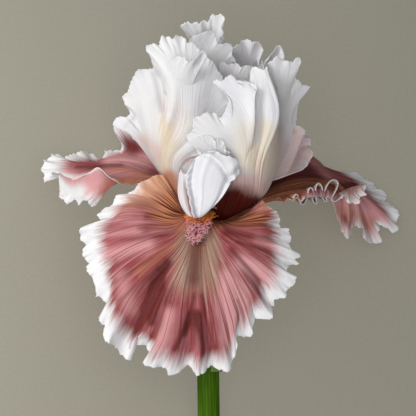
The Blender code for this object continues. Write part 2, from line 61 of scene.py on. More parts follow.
# Height, radius and share of the ovary's three ribs
STEM_PROFILE = np.array([
    (-STEM_LENGTH, 4.85, 0.0), (-110.0, 4.85, 0.0), (-76.0, 4.85, 0.0), (-62.0, 4.9, 0.0),
    (-56.0, 5.6, 0.4), (-48.0, 6.2, 1.0), (-38.0, 6.1, 1.0), (-31.0, 4.9, 0.5),
    (-26.0, 4.1, 0.1), (-19.0, 4.2, 0.0), (-12.0, 5.3, 0.0), (-8.7, 6.1, 0.0),
    (-8.1, 6.0, 0.0),
])


def to_world(points):
    """Flower axes in millimetres to metres on the floor: rolled about the stem, then pitched."""
    roll = np.array([[math.cos(ROLL), 0.0, math.sin(ROLL)], [0.0, 1.0, 0.0],
                     [-math.sin(ROLL), 0.0, math.cos(ROLL)]])
    pitch = np.array([[1.0, 0.0, 0.0], [0.0, math.cos(PITCH), -math.sin(PITCH)],
                      [0.0, math.sin(PITCH), math.cos(PITCH)]])
    return np.asarray(points, float) @ (pitch @ roll).T * MM + THROAT_AT


def smoothstep(value, start, end):
    """Goes from 0 at `start` to 1 at `end` without a corner; `start` may be the larger one."""
    share = np.clip((value - start) / (end - start), 0.0, 1.0)
    return share * share * (3.0 - 2.0 * share)


def spline_weights(knots, at):
    """Share of each knot in a natural cubic spline, one line for each place in `at`.

    Between two knots the curve is the cubic that has the knots' values and their second
    derivatives, which solve the usual three-term equations.
    """
    count = len(knots)
    step = np.diff(knots)
    system = np.eye(count)
    source = np.zeros((count, count))
    for k in range(1, count - 1):
        before, after = step[k - 1], step[k]
        system[k, k - 1:k + 2] = before, 2.0 * (before + after), after
        source[k, k - 1:k + 2] = 6.0 / before, -6.0 / before - 6.0 / after, 6.0 / after
    bend = np.linalg.solve(system, source)
    k = np.clip(np.searchsorted(knots, at, side="right") - 1, 0, count - 2)
    left = (at - knots[k])[:, None]
    right = (knots[k + 1] - at)[:, None]
    span = step[k][:, None]
    value = np.eye(count)
    return (bend[k] * (right ** 3 / span - right * span) / 6.0
            + bend[k + 1] * (left ** 3 / span - left * span) / 6.0
            + value[k] * right / span + value[k + 1] * left / span)


def mesh_piece(name, points, faces, uv, traits):
    """A smooth-shaded mesh object in metres, with its UV map and its named vertex traits."""
    mesh = bpy.data.meshes.new(name)
    mesh.from_pydata(to_world(points).tolist(), [], faces)
    mesh.shade_smooth()
    corners = np.empty(len(mesh.loops), dtype=np.int32)
    mesh.loops.foreach_get("vertex_index", corners)
    mesh.uv_layers.new(name="UVMap").data.foreach_set("uv", uv[corners].ravel())
    for trait, values in traits.items():
        layer = mesh.attributes.new(trait, "FLOAT", "POINT")
        layer.data.foreach_set("value", np.asarray(values, np.float32).ravel())
    piece = bpy.data.objects.new(name, mesh)
    bpy.context.scene.collection.objects.link(piece)
    return piece


def tube_grid(rings, sides):
    """Quads of a tube of rings, open at both ends."""
    number = np.arange(rings * sides).reshape(rings, sides)
    after = np.roll(number, -1, axis=1)
    return np.stack([number[:-1], after[:-1], after[1:], number[1:]], axis=2).reshape(-1, 4)


class Finish:
    """One material. Each method adds a node and gives its output socket."""

    def __init__(self, name, roughness, specular):
        self.material = bpy.data.materials.new(name)
        self.material.use_nodes = True
        self.nodes = self.material.node_tree.nodes
        self.links = self.material.node_tree.links
        self.shader = self.nodes["Principled BSDF"]
        self.output = self.nodes["Material Output"]
        self.shader.inputs["Roughness"].default_value = roughness
        self.shader.inputs["Specular IOR Level"].default_value = specular

    def node(self, kind, settings, inputs):
        """A node with its settings, and its inputs linked or set."""
        made = self.nodes.new(kind)
        for key, value in settings.items():
            setattr(made, key, value)
        for key, value in inputs.items():
            if isinstance(value, bpy.types.NodeSocket):
                self.links.new(value, made.inputs[key])
            else:
                made.inputs[key].default_value = value
        return made

    def trait(self, name):
        """A vertex trait of the mesh."""
        return self.node("ShaderNodeAttribute", {"attribute_name": name}, {}).outputs["Fac"]

    def math(self, operation, first, second=0.0):
        """A sum, a product or the like of two values or sockets."""
        return self.node("ShaderNodeMath", {"operation": operation},
                         {0: first, 1: second}).outputs[0]

    def ramp(self, value, low, high, start=0.0, end=1.0):
        """Goes smoothly from `start` to `end` as the value goes from `low` to `high`."""
        settings = {"interpolation_type": "SMOOTHSTEP"}
        inputs = {"Value": value, "From Min": low, "From Max": high,
                  "To Min": start, "To Max": end}
        return self.node("ShaderNodeMapRange", settings, inputs).outputs["Result"]

    def mix(self, share, first, second):
        """The first colour, and the second one over it in the given share."""
        first, second = (colour if isinstance(colour, bpy.types.NodeSocket) else (*colour, 1.0)
                         for colour in (first, second))
        return self.node("ShaderNodeMix", {"data_type": "RGBA"},
                         {0: share, 6: first, 7: second}).outputs[2]

    def surface_uv(self, across, along, shift=0.0):
        """The piece's UV map, stretched so that patterns run along the petal."""
        uv = self.node("ShaderNodeUVMap", {"uv_map": "UVMap"}, {}).outputs[0]
        return self.node("ShaderNodeMapping", {},
                         {"Vector": uv, "Scale": (across, along, 1.0),
                          "Location": (shift, shift, shift)}).outputs[0]

    def place(self, scale):
        """The piece's own coordinates in metres, scaled."""
        own = self.node("ShaderNodeTexCoord", {}, {}).outputs["Object"]
        return self.node("ShaderNodeMapping", {},
                         {"Vector": own, "Scale": (scale, scale, scale)}).outputs[0]

    def noise(self, vector, detail=2.0, roughness=0.5, distortion=0.0):
        """Soft noise about 0.5, one cell to each unit of the vector."""
        return self.node("ShaderNodeTexNoise", {},
                         {"Vector": vector, "Scale": 1.0, "Detail": detail,
                          "Roughness": roughness, "Distortion": distortion}).outputs["Fac"]

    def centred(self, noise, reach):
        """The noise about zero, as far to both sides as half the reach."""
        return self.math("MULTIPLY", self.math("SUBTRACT", noise, 0.5), reach)

    def lines(self, noise, width):
        """Thin lines where the noise passes its middle value: 1 on the line, 0 beside it."""
        away = self.math("ABSOLUTE", self.math("SUBTRACT", noise, 0.5))
        return self.ramp(away, 0.0, width, 1.0, 0.0)

    def bump(self, height, distance_mm, under=None):
        """Relief of that depth, on top of the relief under it."""
        inputs = {"Height": height, "Distance": distance_mm * MM}
        if under is not None:
            inputs["Normal"] = under
        return self.node("ShaderNodeBump", {}, inputs).outputs[0]

    def finish(self, colour, normal=None, through=0.0):
        """Joins colour and bump to the shader, and lets some light through the piece."""
        self.links.new(colour, self.shader.inputs["Base Color"])
        skin = {"Color": colour}
        if normal is not None:
            self.links.new(normal, self.shader.inputs["Normal"])
            skin["Normal"] = normal
        if through:
            glow = self.node("ShaderNodeBsdfTranslucent", {}, skin)
            both = self.node("ShaderNodeMixShader", {},
                             {0: through, 1: self.shader.outputs[0], 2: glow.outputs[0]})
            self.links.new(both.outputs[0], self.output.inputs["Surface"])
        return self.material


FIBRE_DARK = (0.028, 0.090, 0.001)
FIBRE_GREEN = (0.080, 0.175, 0.003)
PATCH_GREEN = (0.11, 0.20, 0.006)
DOT_GREEN = (0.04, 0.10, 0.004)
TUBE_YELLOW = (0.42, 0.40, 0.12)


def stem_green():
    """Yellow-green flesh with long darker fibres, fine dots and a soft waxy shine."""
    skin = Finish("stem_green", 0.5, specular=0.08)
    fibre = skin.noise(skin.surface_uv(60.0, 7.0), 3.0)
    patch = skin.noise(skin.surface_uv(5.0, 9.0, 4.0), 2.0)
    dots = skin.noise(skin.place(1400.0), 1.0)
    colour = skin.mix(skin.ramp(fibre, 0.35, 0.68), FIBRE_DARK, FIBRE_GREEN)
    colour = skin.mix(skin.ramp(patch, 0.45, 0.75, 0.0, 0.5), colour, PATCH_GREEN)
    colour = skin.mix(skin.ramp(dots, 0.62, 0.75, 0.0, 0.4), colour, DOT_GREEN)
    colour = skin.mix(skin.trait("tube"), colour, TUBE_YELLOW)
    return skin.finish(colour, skin.bump(fibre, 0.25))


def build_stem():
    """Rings round the axis: radius * (1 + rib * cos(3 * turn)), drifting aside further down."""
    up = np.linspace(-STEM_LENGTH, STEM_PROFILE[-1, 0], STEM_RINGS)
    radius = np.interp(up, STEM_PROFILE[:, 0], STEM_PROFILE[:, 1])
    rib = np.interp(up, STEM_PROFILE[:, 0], STEM_PROFILE[:, 2])
    soft = np.array([0.25, 0.5, 0.25])
    for _ in range(PROFILE_SOFTENINGS):
        radius[1:-1] = np.convolve(radius, soft, "valid")
        rib[1:-1] = np.convolve(rib, soft, "valid")
    turn = np.linspace(0.0, 2.0 * math.pi, STEM_SIDES, endpoint=False)
    stalk = smoothstep(up, -STRAIGHT_FROM, -STRAIGHT_FROM - 20.0)[:, None]
    ribs = OVARY_RIB * rib[:, None] * np.cos(3.0 * turn)
    around = radius[:, None] * (1.0 + ribs + STALK_RIB * np.sin(STALK_RIBS * turn + 0.7) * stalk)
    drift = STEM_DRIFT * smoothstep(up, -STRAIGHT_FROM, -STEM_LENGTH)[:, None]
    x, z = around * np.sin(turn) + drift, around * np.cos(turn)
    points = np.stack([x, np.broadcast_to(up[:, None], x.shape), z], axis=2).reshape(-1, 3)
    ends = np.array([[STEM_DRIFT, -STEM_LENGTH + 0.6, 0.0], [0.0, STEM_PROFILE[-1, 0], 0.0]])
    first = np.arange(STEM_SIDES)
    last = first + (STEM_RINGS - 1) * STEM_SIDES
    foot = np.full(STEM_SIDES, STEM_RINGS * STEM_SIDES)
    cut_end = np.stack([np.roll(first, -1), first, foot], axis=1)
    top_end = np.stack([last, np.roll(last, -1), foot + 1], axis=1)
    faces = tube_grid(STEM_RINGS, STEM_SIDES).tolist() + cut_end.tolist() + top_end.tolist()
    share = np.repeat((up + STEM_LENGTH) / STEM_LENGTH, STEM_SIDES)
    uv = np.stack([np.tile(turn / (2.0 * math.pi), STEM_RINGS), share], axis=1)
    uv = np.concatenate([uv, [[0.5, 0.0], [0.5, 1.0]]])
    tube = np.concatenate([smoothstep(np.repeat(up, STEM_SIDES), -30.0, -14.0), [0.0, 1.0]])
    piece = mesh_piece("stem_skin", np.concatenate([points, ends]), faces, uv, {"tube": tube})
    piece.data.materials.append(stem_green())
    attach(piece, "root")
    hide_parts("stem")


build_stem()


# Falls: three soft petals that spread and hang, rose with a cream centre and a ruffled white
# margin. Each grows from a narrow claw on the rim of the tube and is thinnest at its margin.
RIM_HEIGHT = -7.2
RIM_RADIUS = 5.5
CLAW_HALF_ANGLE = 20.0
RUFFLE_ENDS = 0.13
RUFFLE_SCALLOP = 1.2
RUFFLE_LEAN = 0.6
RUFFLE_UNEVEN = 0.7
CRIMP_REACH = 4.0
CRIMP_RATE = 2.7
CRIMP_AT_CLAW = 0.35
THICK_FROM_MARGIN = 25.0
# Thickness at the claw and at the margin
FALL_THICKNESS = (0.9, 0.3)
FALL_LOBE_THICKNESS = (0.5, 0.3)
SPLINE_SAMPLES = 401
# Each petal is rows of points from its claw to its margin, each row from side to side
FRONT_FALL = (
    ((-8.6, -2.6, 6.5), (-7.6, -5.0, 12.5), (-3.2, -5.2, 16.0), (2.0, -5.6, 12.5),
     (6.6, -6.1, 7.9)),
    ((-12.0, 1.5, 8.5), (-15, -4, 17), (-14, -10, 23), (-10.5, -15, 27), (-5.5, -17, 28.5),
     (0.5, -14.5, 27), (6, -11, 23), (10, -7.5, 17), (12.5, -4.4, 9.5)),
    ((-15.2, 7.0, 10), (-25, -0.5, 21), (-27, -14, 28), (-22, -28, 33), (-8, -34, 34.5),
     (6, -28, 34), (16, -18, 29), (18.5, -8, 22), (17.2, -1.4, 10.5)),
    ((-17.6, 11.4, 11), (-35, 1.5, 22), (-41, -21, 27), (-34, -44, 32), (-9, -53, 36),
     (12, -44, 34), (27, -25, 28), (27, -7.5, 21), (21.0, 2.2, 11)),
    ((-19.3, 14.3, 12), (-30.5, 10.2, 17), (-44, 0.2, 19), (-54.5, -13, 20), (-52.5, -29, 22),
     (-47, -46, 27), (-41, -60, 31), (-28, -65, 29), (-11, -71, 31), (5, -70, 32),
     (17, -58, 31), (28.5, -45, 29), (35.5, -31, 25), (37.5, -19, 20), (33.5, -7.5, 17),
     (28.3, -0.8, 14), (23.8, 4.8, 11)),
)
LEFT_FALL = (
    ((-13.0, 3.0, -1.5), (-11.5, 1.5, -6.5), (-9.5, 3.5, -11)),
    ((-17.6, 8.0, 1.2), (-22.0, 12.5, -6), (-23.5, 13.0, -12.5), (-21, 14.5, -18.5),
     (-16, 14.5, -22)),
    ((-21.2, 10.6, 4.2), (-30.5, 14.0, 1), (-38.5, 16.5, -4.5), (-41.5, 18.5, -13),
     (-40, 20, -22), (-33, 21.5, -29), (-22, 20.5, -29)),
    ((-24.4, 12.0, 6.8), (-33.5, 12.6, 5.5), (-44.5, 13.5, 6.5), (-53, 15.2, 0),
     (-58, 16.5, -12), (-56, 19, -24.5), (-49, 21, -37), (-39, 23.5, -42), (-27, 25.5, -35)),
    ((-27.0, 12.0, 8.8), (-32, 10.6, 10), (-37.5, 10.4, 12), (-42.5, 13.2, 12.5),
     (-48.5, 17.4, 10), (-54, 14.8, 6), (-60, 12.6, 0), (-66, 14.5, -9), (-71.5, 13, -18),
     (-72.5, 20, -25), (-67, 23.0, -33), (-60, 23.6, -41), (-53.5, 24.6, -47), (-47, 23.5, -51),
     (-41.5, 25.5, -51), (-39, 31, -46), (-33, 30, -38)),
)
RIGHT_FALL = (
    ((10.5, 2.5, -11), (12.5, -1.5, -6.5), (13.8, -2.5, -1.5)),
    ((17, 12, -21), (22.5, 10.5, -19), (25.5, 8, -13), (24.5, 4.2, -6), (19, -0.2, -0.5)),
    ((23, 18, -30), (33, 19.5, -33), (41, 17.5, -28), (44.5, 14, -20), (42.5, 10.5, -11.5),
     (34, 6.5, -4), (22.5, 1.2, 1)),
    ((29, 22.5, -38), (45, 20.5, -46), (58, 15, -44), (66, 7.5, -38), (67, 3, -29.5),
     (61, 5.5, -19.5), (54, 8.5, -9.5), (42, 6.0, 0.5), (25, 2.1, 2.4)),
    ((35, 26, -46), (45.5, 23.5, -52.5), (53, 16.5, -55), (60, 13.5, -54.5), (68, 13.5, -52),
     (77, 7, -50), (80, 1, -46), (84, -8, -40), (76.5, -13, -36), (70.5, -14, -31),
     (65.5, -7.0, -25), (61.8, -13.5, -19), (57.5, -4.5, -13), (54, 2.8, -8), (48.5, 3, -1.5),
     (42.5, 3.0, 4.5), (34.5, 3.4, 7.5), (26.5, 2.8, 3.5)),
)
PETAL_GRID = (56, 370)
PETAL_CROWDING = 1.35
LOBE_GRID = (40, 130)
LOBE_CROWDING = 1.2


def rim_row(azimuth_deg, half_angle, radius, height, first_row):
    """Three points on a ring round the axis, in the same order across as the row after them."""
    angles = np.radians(azimuth_deg + half_angle * np.array([-1.0, 0.0, 1.0]))
    rim = np.stack([radius * np.sin(angles), np.full(3, height), radius * np.cos(angles)], axis=1)
    same_way = np.dot(rim[2] - rim[0], np.array(first_row[-1]) - np.array(first_row[0])) > 0.0
    return rim if same_way else rim[::-1]


class Ruffle:
    """Waves along a petal's margin: how many, how high, and how far in they reach in mm."""

    def __init__(self, waves, height, reach, seed):
        self.waves = waves
        self.height = height
        self.reach = reach
        draw = np.random.default_rng(seed)
        self.drift = draw.uniform(-1.0, 1.0, 3)
        self.turn = draw.uniform(0.0, 2.0 * math.pi, 5)

    def phase(self, along):
        """Wave phase at a share of the margin's length, a little uneven as in a real petal."""
        steady = 2.0 * math.pi * self.waves * along
        uneven = sum(self.drift[k] * np.sin(2.0 * math.pi * (k + 2) * along + self.turn[k])
                     for k in range(3))
        return steady + RUFFLE_UNEVEN * uneven

    def swell(self, along):
        """Height of the waves there, as a share of the full height."""
        return (0.62 + 0.24 * np.sin(2.0 * math.pi * 3 * along + self.turn[3])
                + 0.24 * np.sin(2.0 * math.pi * 7 * along + self.turn[4]))


def shell_faces(rows, columns):
    """Quads of a closed shell: a grid, the same grid turned over behind it, and the rim wall."""
    number = np.arange(rows * columns).reshape(rows, columns)
    top = np.stack([number[:-1, :-1], number[1:, :-1], number[1:, 1:], number[:-1, 1:]],
                   axis=2).reshape(-1, 4)
    rim = np.concatenate([number[0, :-1], number[:-1, -1], number[-1, :0:-1], number[:0:-1, 0]])
    after = np.roll(rim, -1)
    behind = rows * columns
    wall = np.stack([rim, after, after + behind, rim + behind], axis=1)
    return np.concatenate([top, top[:, ::-1] + behind, wall])


class Leaf:
    """A thin piece's middle surface on a grid, with each point's distance from the margin."""

    def __init__(self, points, along, across, from_margin):
        self.points = points
        self.along = along[:, None]
        self.across = across
        self.from_margin = from_margin

    def directions(self):
        """Unit outward, sideways and normal directions of the surface as it now stands."""
        outward = np.gradient(self.points, axis=0)
        sideways = np.gradient(self.points, axis=1)
        normal = np.cross(outward, sideways)
        return tuple(way / (np.linalg.norm(way, axis=2, keepdims=True) + 1e-9)
                     for way in (outward, sideways, normal))

    def shell(self, thickness, traits):
        """Closed shell about the middle surface, as thick as the pair says at claw and margin."""
        thick, thin = thickness
        normal = self.directions()[2]
        shape = self.points.shape[:2]
        half = 0.5 * (thin + (thick - thin) * smoothstep(self.from_margin, 0.0,
                                                         THICK_FROM_MARGIN))
        over = self.points + normal * half[..., None]
        under = self.points - normal * half[..., None]
        uv = np.stack([self.across, np.broadcast_to(self.along, shape)], axis=2)
        both = {key: np.tile(np.broadcast_to(value, shape).ravel(), 2)
                for key, value in traits.items()}
        points = np.concatenate([over.reshape(-1, 3), under.reshape(-1, 3)])
        return points, shell_faces(*shape), np.tile(uv.reshape(-1, 2), (2, 1)), both


class Sheet(Leaf):
    """A petal's middle surface on a grid, claw to margin by side to side.

    Each row of points is a spline across the petal, and a second spline joins the rows. The
    places across may drift from claw to margin, so that a sheet can be a part of a petal.
    """

    def __init__(self, base, rows, along, across):
        every = [np.array(row, float) for row in (base, *rows)]
        self.sample = np.linspace(0.0, 1.0, SPLINE_SAMPLES)
        curves = np.array([spline_weights(np.linspace(0.0, 1.0, len(row)), self.sample) @ row
                           for row in every])
        reach = np.linalg.norm(np.diff(curves, axis=0), axis=2).mean(axis=1)
        knots = np.concatenate([[0.0], np.cumsum(reach)]) / reach.sum()
        across = np.broadcast_to(across, (len(along), across.shape[-1]))
        share = spline_weights(knots, along)
        points = sum(share[:, r, None, None]
                     * (spline_weights(np.linspace(0.0, 1.0, len(row)), across.ravel())
                        @ row).reshape(across.shape + (3,)) for r, row in enumerate(every))
        steps = np.linalg.norm(np.diff(points, axis=0), axis=2)
        inward = np.cumsum(steps[::-1], axis=0)[::-1]
        from_margin = np.concatenate([inward, np.zeros((1, across.shape[1]))])
        super().__init__(points, along, across, from_margin)
        self.plain = points.copy()
        self.margin = curves[-1]
        steps = np.linalg.norm(np.diff(self.margin, axis=0), axis=1)
        length = np.concatenate([[0.0], np.cumsum(steps)]) / steps.sum()
        self.margin_share = np.interp(across, self.sample, length)

    def trim(self, line, reach):
        """Draws the margin sideways onto a line in the flower's front plane.

        Each point of the line belongs to the nearest place of the margin. The pull is in full
        at the margin and fades to nothing at `reach` millimetres from it.
        """
        line = np.array(line, float)
        span = np.linalg.norm(np.diff(line, axis=0), axis=1)
        run = np.concatenate([[0.0], np.cumsum(span)]) / span.sum()
        away = np.linalg.norm(line[:, None] - self.margin[None, :, :2], axis=2)
        place = self.sample[np.argmin(away, axis=1)]
        place = np.maximum.accumulate(place) + 1e-4 * np.arange(len(line))
        edge = self.across[-1]
        target = spline_weights(run, np.interp(edge, place, run)) @ line
        inside = (smoothstep(edge, place[0] - 0.02, place[0])
                  * smoothstep(edge, place[-1] + 0.02, place[-1]))
        pull = (target - self.points[-1, :, :2]) * inside[:, None]
        weight = smoothstep(self.from_margin, reach, 0.0)
        self.points[..., :2] += weight[..., None] * pull[None]

    def fold(self, folds):
        """Lifts the sheet along its normal by depth * bell(across) * rise(along) for each fold.

        A fold is its place across at the claw and at the margin, its depth, its width, and
        where it starts and is full.
        """
        lift = np.zeros(self.points.shape[:2])
        for first, last, depth, width, start, full in folds:
            place = first + (last - first) * self.along
            bell = np.exp(-((self.across - place) / width) ** 2)
            lift += depth * bell * smoothstep(self.along, start, full)
        self.points = self.points + self.directions()[2] * lift[..., None]

    def lift_edge(self, side, height, width, start, full):
        """Brings one side edge of the sheet towards the viewer: height * exp(-share / width)."""
        share = np.linspace(0.0, 1.0, self.across.shape[1])[None, :]
        share = share if side < 0 else 1.0 - share
        rise = height * np.exp(-(share / width) ** 2) * smoothstep(self.along, start, full)
        self.points[..., 2] += rise

    def ruffle(self, ruffle, sway, crimp=0.0, nick=0.0, window=(0.0, 1.0)):
        """Waves of the margin, with finer crimps on them.

        The lift is height * sin(phase), the stretch outwards scallop * sin(phase + lean), and
        the sway sideways is sway * sin(2 * phase), so that high waves lean over. All of them
        fade inwards as (1 - distance / reach) ** 1.5. Crimps are waves of 2.7 times the phase
        near the edge, and nicks are small uneven notches in it. The window is where across the
        petal the waves run; a window from the petal's side keeps some of its crimps there.
        """
        share = self.margin_share
        phase = ruffle.phase(share)
        soft = RUFFLE_ENDS * (window[1] - window[0])
        ends = (smoothstep(self.across, window[0], window[0] + soft)
                * smoothstep(self.across, window[1], window[1] - soft))
        near = np.clip(1.0 - self.from_margin / ruffle.reach, 0.0, 1.0) ** 1.5
        weight = near * ruffle.swell(share) * ends
        least = CRIMP_AT_CLAW * (window[0] == 0.0)
        fine = np.clip(1.0 - self.from_margin / CRIMP_REACH, 0.0, 1.0)
        fine = fine * (least + (1.0 - least) * ends)
        ripple = np.sin(CRIMP_RATE * phase + 3.0 * np.sin(0.37 * phase) + ruffle.turn[0])
        notch = (np.sin(5.3 * phase + ruffle.turn[1]) * np.sin(1.9 * phase + ruffle.turn[2])
                 + 0.6 * np.sin(8.3 * phase + 4.0 * np.sin(0.9 * phase)))
        outward, sideways, normal = self.directions()
        lift = ruffle.height * weight * np.sin(phase) + crimp * fine * ripple
        stretch = RUFFLE_SCALLOP * weight * np.sin(phase + RUFFLE_LEAN) + nick * fine * notch
        lean = sway * weight * np.sin(2.0 * phase)
        self.points = (self.points + normal * lift[..., None] + outward * stretch[..., None]
                       + sideways * lean[..., None])


def petal_piece(name, shells, material):
    """One object out of one shell or more, with its material; it rides on the body."""
    starts = np.cumsum([0] + [len(shell[0]) for shell in shells])
    points, uv = (np.concatenate([shell[k] for shell in shells]) for k in (0, 2))
    faces = np.concatenate([shell[1] + start for shell, start in zip(shells, starts)])
    traits = {key: np.concatenate([shell[3][key] for shell in shells]) for key in shells[0][3]}
    piece = mesh_piece(name, points, faces.tolist(), uv, traits)
    piece.data.materials.append(material)
    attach(piece, "root")
    return piece


# The darkest red below is the falls' own colour, and also painted shade in fold valleys, under the
# right fall's loops and in the throat.
MAROON_AND_SHADE = (0.085, 0.006, 0.004)
ROSE_DEEP = (0.23, 0.030, 0.032)
ROSE = (0.41, 0.100, 0.108)
ROSE_LIGHT = (0.86, 0.45, 0.46)
PETAL_WHITE = (0.89, 0.885, 0.89)
CREAM = (0.36, 0.215, 0.150)
CREAM_LIGHT = (0.74, 0.58, 0.47)
TAN = (0.48, 0.19, 0.105)
HAFT_TAN = (0.90, 0.40, 0.17)
HAFT_LIGHT = (0.90, 0.52, 0.33)
HAFT_BROWN = (0.16, 0.014, 0.007)
VEIN_BROWN = (0.22, 0.036, 0.026)
VELVET_PINK = (0.9, 0.75, 0.75)
FALL_TRAITS = ("cream", "tan", "rim", "haft", "deep", "pale", "vein")


def petal_steps(count, crowding):
    """Places from claw to margin, closer together towards the margin: 1 - (1 - s) ** crowding."""
    return 1.0 - (1.0 - np.linspace(0.0, 1.0, count)) ** crowding


def beside(points, start, end, width):
    """Bell of the distance, in the flower's front plane, from a straight line between points."""
    line = np.subtract(end, start)
    flat = points[..., :2] - start
    along = np.clip(flat @ line / np.dot(line, line), 0.0, 1.0)
    away = np.linalg.norm(flat - along[..., None] * line, axis=-1)
    return np.exp(-(away / width) ** 2)


def strokes_at(points, strokes):
    """Adds up soft strokes of colour: each has its two ends, its width and its strength."""
    return sum(strength * beside(points, start, end, width)
               for start, end, width, strength in strokes)


def fall_finish(name, seed):
    """Velvety rose flesh with darker and lighter streaks from claw to margin, a cream centre,
    tan and brown-veined haft, and a white margin that runs inwards in fine feathers. Its
    darkest red is partly its own and partly painted shade in fold valleys, under loops and in
    the throat; its paler pink is partly its own and partly painted highlight on the front
    fall's ridges."""
    skin = Finish(name, 0.7, specular=0.06)
    broad = skin.noise(skin.surface_uv(26.0, 1.6, seed), 4.0, 0.55)
    streak = skin.noise(skin.surface_uv(95.0, 3.2, seed + 2.0), 4.0, 0.6)
    fine = skin.noise(skin.surface_uv(330.0, 9.0, seed + 5.0), 3.0, 0.6)
    vein = skin.lines(skin.noise(skin.surface_uv(105.0, 0.55, seed + 8.0), 0.0), 0.07)
    grain = skin.noise(skin.place(2600.0), 2.0)
    colour = skin.mix(skin.ramp(broad, 0.36, 0.66), ROSE_DEEP, ROSE)
    colour = skin.mix(skin.ramp(streak, 0.42, 0.75, 0.0, 0.5), colour, ROSE_LIGHT)
    # Lighter pink where the fall is paler, and on the front fall's ridges as a painted highlight.
    colour = skin.mix(skin.math("MULTIPLY", skin.trait("pale"), 0.85), colour, ROSE_LIGHT)
    wander = skin.centred(streak, 0.9)
    tan = skin.ramp(skin.math("ADD", skin.trait("tan"), wander), 0.15, 0.9)
    colour = skin.mix(tan, colour, TAN)
    cream = skin.ramp(skin.math("ADD", skin.trait("cream"), wander), 0.1, 1.0)
    colour = skin.mix(cream, colour, CREAM)
    gleam = skin.math("MULTIPLY", skin.trait("cream"), skin.ramp(streak, 0.46, 0.68, 0.0, 0.6))
    colour = skin.mix(gleam, colour, CREAM_LIGHT)
    # Darkest red where the fall has it, and as painted shade in its fold valleys, loops and
    # throat.
    dark = skin.ramp(skin.math("ADD", skin.trait("deep"), wander), 0.1, 1.1, 0.0, 0.85)
    colour = skin.mix(dark, colour, MAROON_AND_SHADE)
    thread = skin.math("MULTIPLY", skin.trait("vein"), vein)
    colour = skin.mix(thread, colour, VEIN_BROWN)
    colour = skin.mix(skin.trait("rim"), colour, HAFT_LIGHT)
    stripe = skin.noise(skin.surface_uv(210.0, 1.3, seed + 11.0), 1.0, 0.5, 0.2)
    brown = skin.math("MULTIPLY", skin.trait("haft"), skin.ramp(stripe, 0.56, 0.61, 0.0, 0.9))
    colour = skin.mix(brown, colour, HAFT_BROWN)
    glint = skin.math("MULTIPLY", skin.trait("haft"), skin.ramp(stripe, 0.52, 0.45, 0.0, 0.9))
    colour = skin.mix(glint, colour, HAFT_TAN)
    feather = skin.math("ADD", skin.centred(streak, 8.0), skin.centred(fine, 7.0))
    white = skin.ramp(skin.math("ADD", skin.trait("white"), feather), -5.0, 3.6)
    colour = skin.mix(white, colour, PETAL_WHITE)
    colour = skin.mix(skin.ramp(grain, 0.4, 0.7, 0.0, 0.03), colour, VELVET_PINK)
    normal = skin.bump(fine, 0.12, skin.bump(streak, 0.35))
    return skin.finish(colour, normal, through=0.22)


def fall_traits(sheet, white, **more):
    """Vertex traits of a fall: how far inside the white margin a point is, and colour shares."""
    traits = dict.fromkeys(FALL_TRAITS, 0.0)
    traits.update(more)
    traits["white"] = white - sheet.from_margin
    return traits


WHOLE = ((0.0, 0.0, 0.0), (1.0, 1.0, 1.0))


def part_across(along, sides, columns, scallop=0.0):
    """Places across for a part of a petal.

    Its left and right sides are each a place across at the claw, half way and at the margin,
    and the columns lie evenly between them. The left side can be cut in small scallops,
    scallop * |sin(48 * along)| in depth.
    """
    low, high = (np.interp(along, (0.0, 0.5, 1.0), side)[:, None] for side in sides)
    low = low + scallop * np.abs(np.sin(48.0 * along))[:, None]
    return low + (high - low) * np.linspace(0.0, 1.0, columns)


def start_petal(rows, azimuth_deg, sides=WHOLE):
    """The middle surface of a petal that stands on the tube's rim, or of a part of it."""
    base = rim_row(azimuth_deg, CLAW_HALF_ANGLE, RIM_RADIUS, RIM_HEIGHT, rows[0])
    along = petal_steps(PETAL_GRID[0], PETAL_CROWDING)
    columns = int(PETAL_GRID[1] * (sides[1][-1] - sides[0][-1]))
    return Sheet(base, rows, along, part_across(along, sides, columns))


FRONT_EDGE = (
    (-19.3, 14.3), (-22.5, 14.5), (-26, 13), (-29.5, 10.8), (-32, 8.5), (-35.5, 7), (-38.5, 5.5),
    (-41, 3), (-44, 1), (-46, -1.5), (-47, -4), (-46.2, -6), (-48.8, -7.8), (-50.5, -6.3),
    (-53.5, -7.5), (-55.5, -10.5), (-56, -14.3), (-54, -15.5), (-54.5, -18), (-54.3, -21.5),
    (-53, -24), (-53, -27.5), (-51, -28.8), (-50.8, -32), (-50, -34.5), (-48, -37.5),
    (-46.5, -40.5), (-45.3, -44), (-45.6, -47), (-47, -49.2), (-46, -52), (-45.8, -55),
    (-44, -57.8), (-42, -60.2), (-40, -62.5), (-37, -64.2), (-34.7, -65.2), (-33.6, -60.5),
    (-29, -61), (-26, -64.5), (-27.4, -66.8), (-24.5, -69), (-20.5, -70), (-18.3, -70.2),
    (-17.3, -73), (-14, -72), (-10.5, -70.5), (-8, -69), (-6.5, -71.5), (-3, -72), (0, -71.5),
    (1, -69.7), (4, -69.5), (7, -70.5), (9, -71.2), (10.8, -69), (11.5, -65), (12.3, -60),
    (13.2, -57), (17, -56.2), (19, -53.5), (20.5, -51), (22.5, -48), (25, -47.8), (27.5, -47),
    (28.5, -45), (29.2, -42.5), (28.5, -40), (31, -39), (34, -38.8), (35, -36.5), (37, -34),
    (37.3, -30.5), (34.6, -29.8), (35, -27), (37, -25.5), (39.5, -24.3), (37, -22.5),
    (39.5, -20.8), (37, -19), (36.5, -15.5), (35.5, -12), (34.2, -9.5), (32, -9.3), (31.8, -6.5),
    (31, -3.5), (29.5, -2), (27.5, 0), (25, 2), (23.8, 4.8),
)
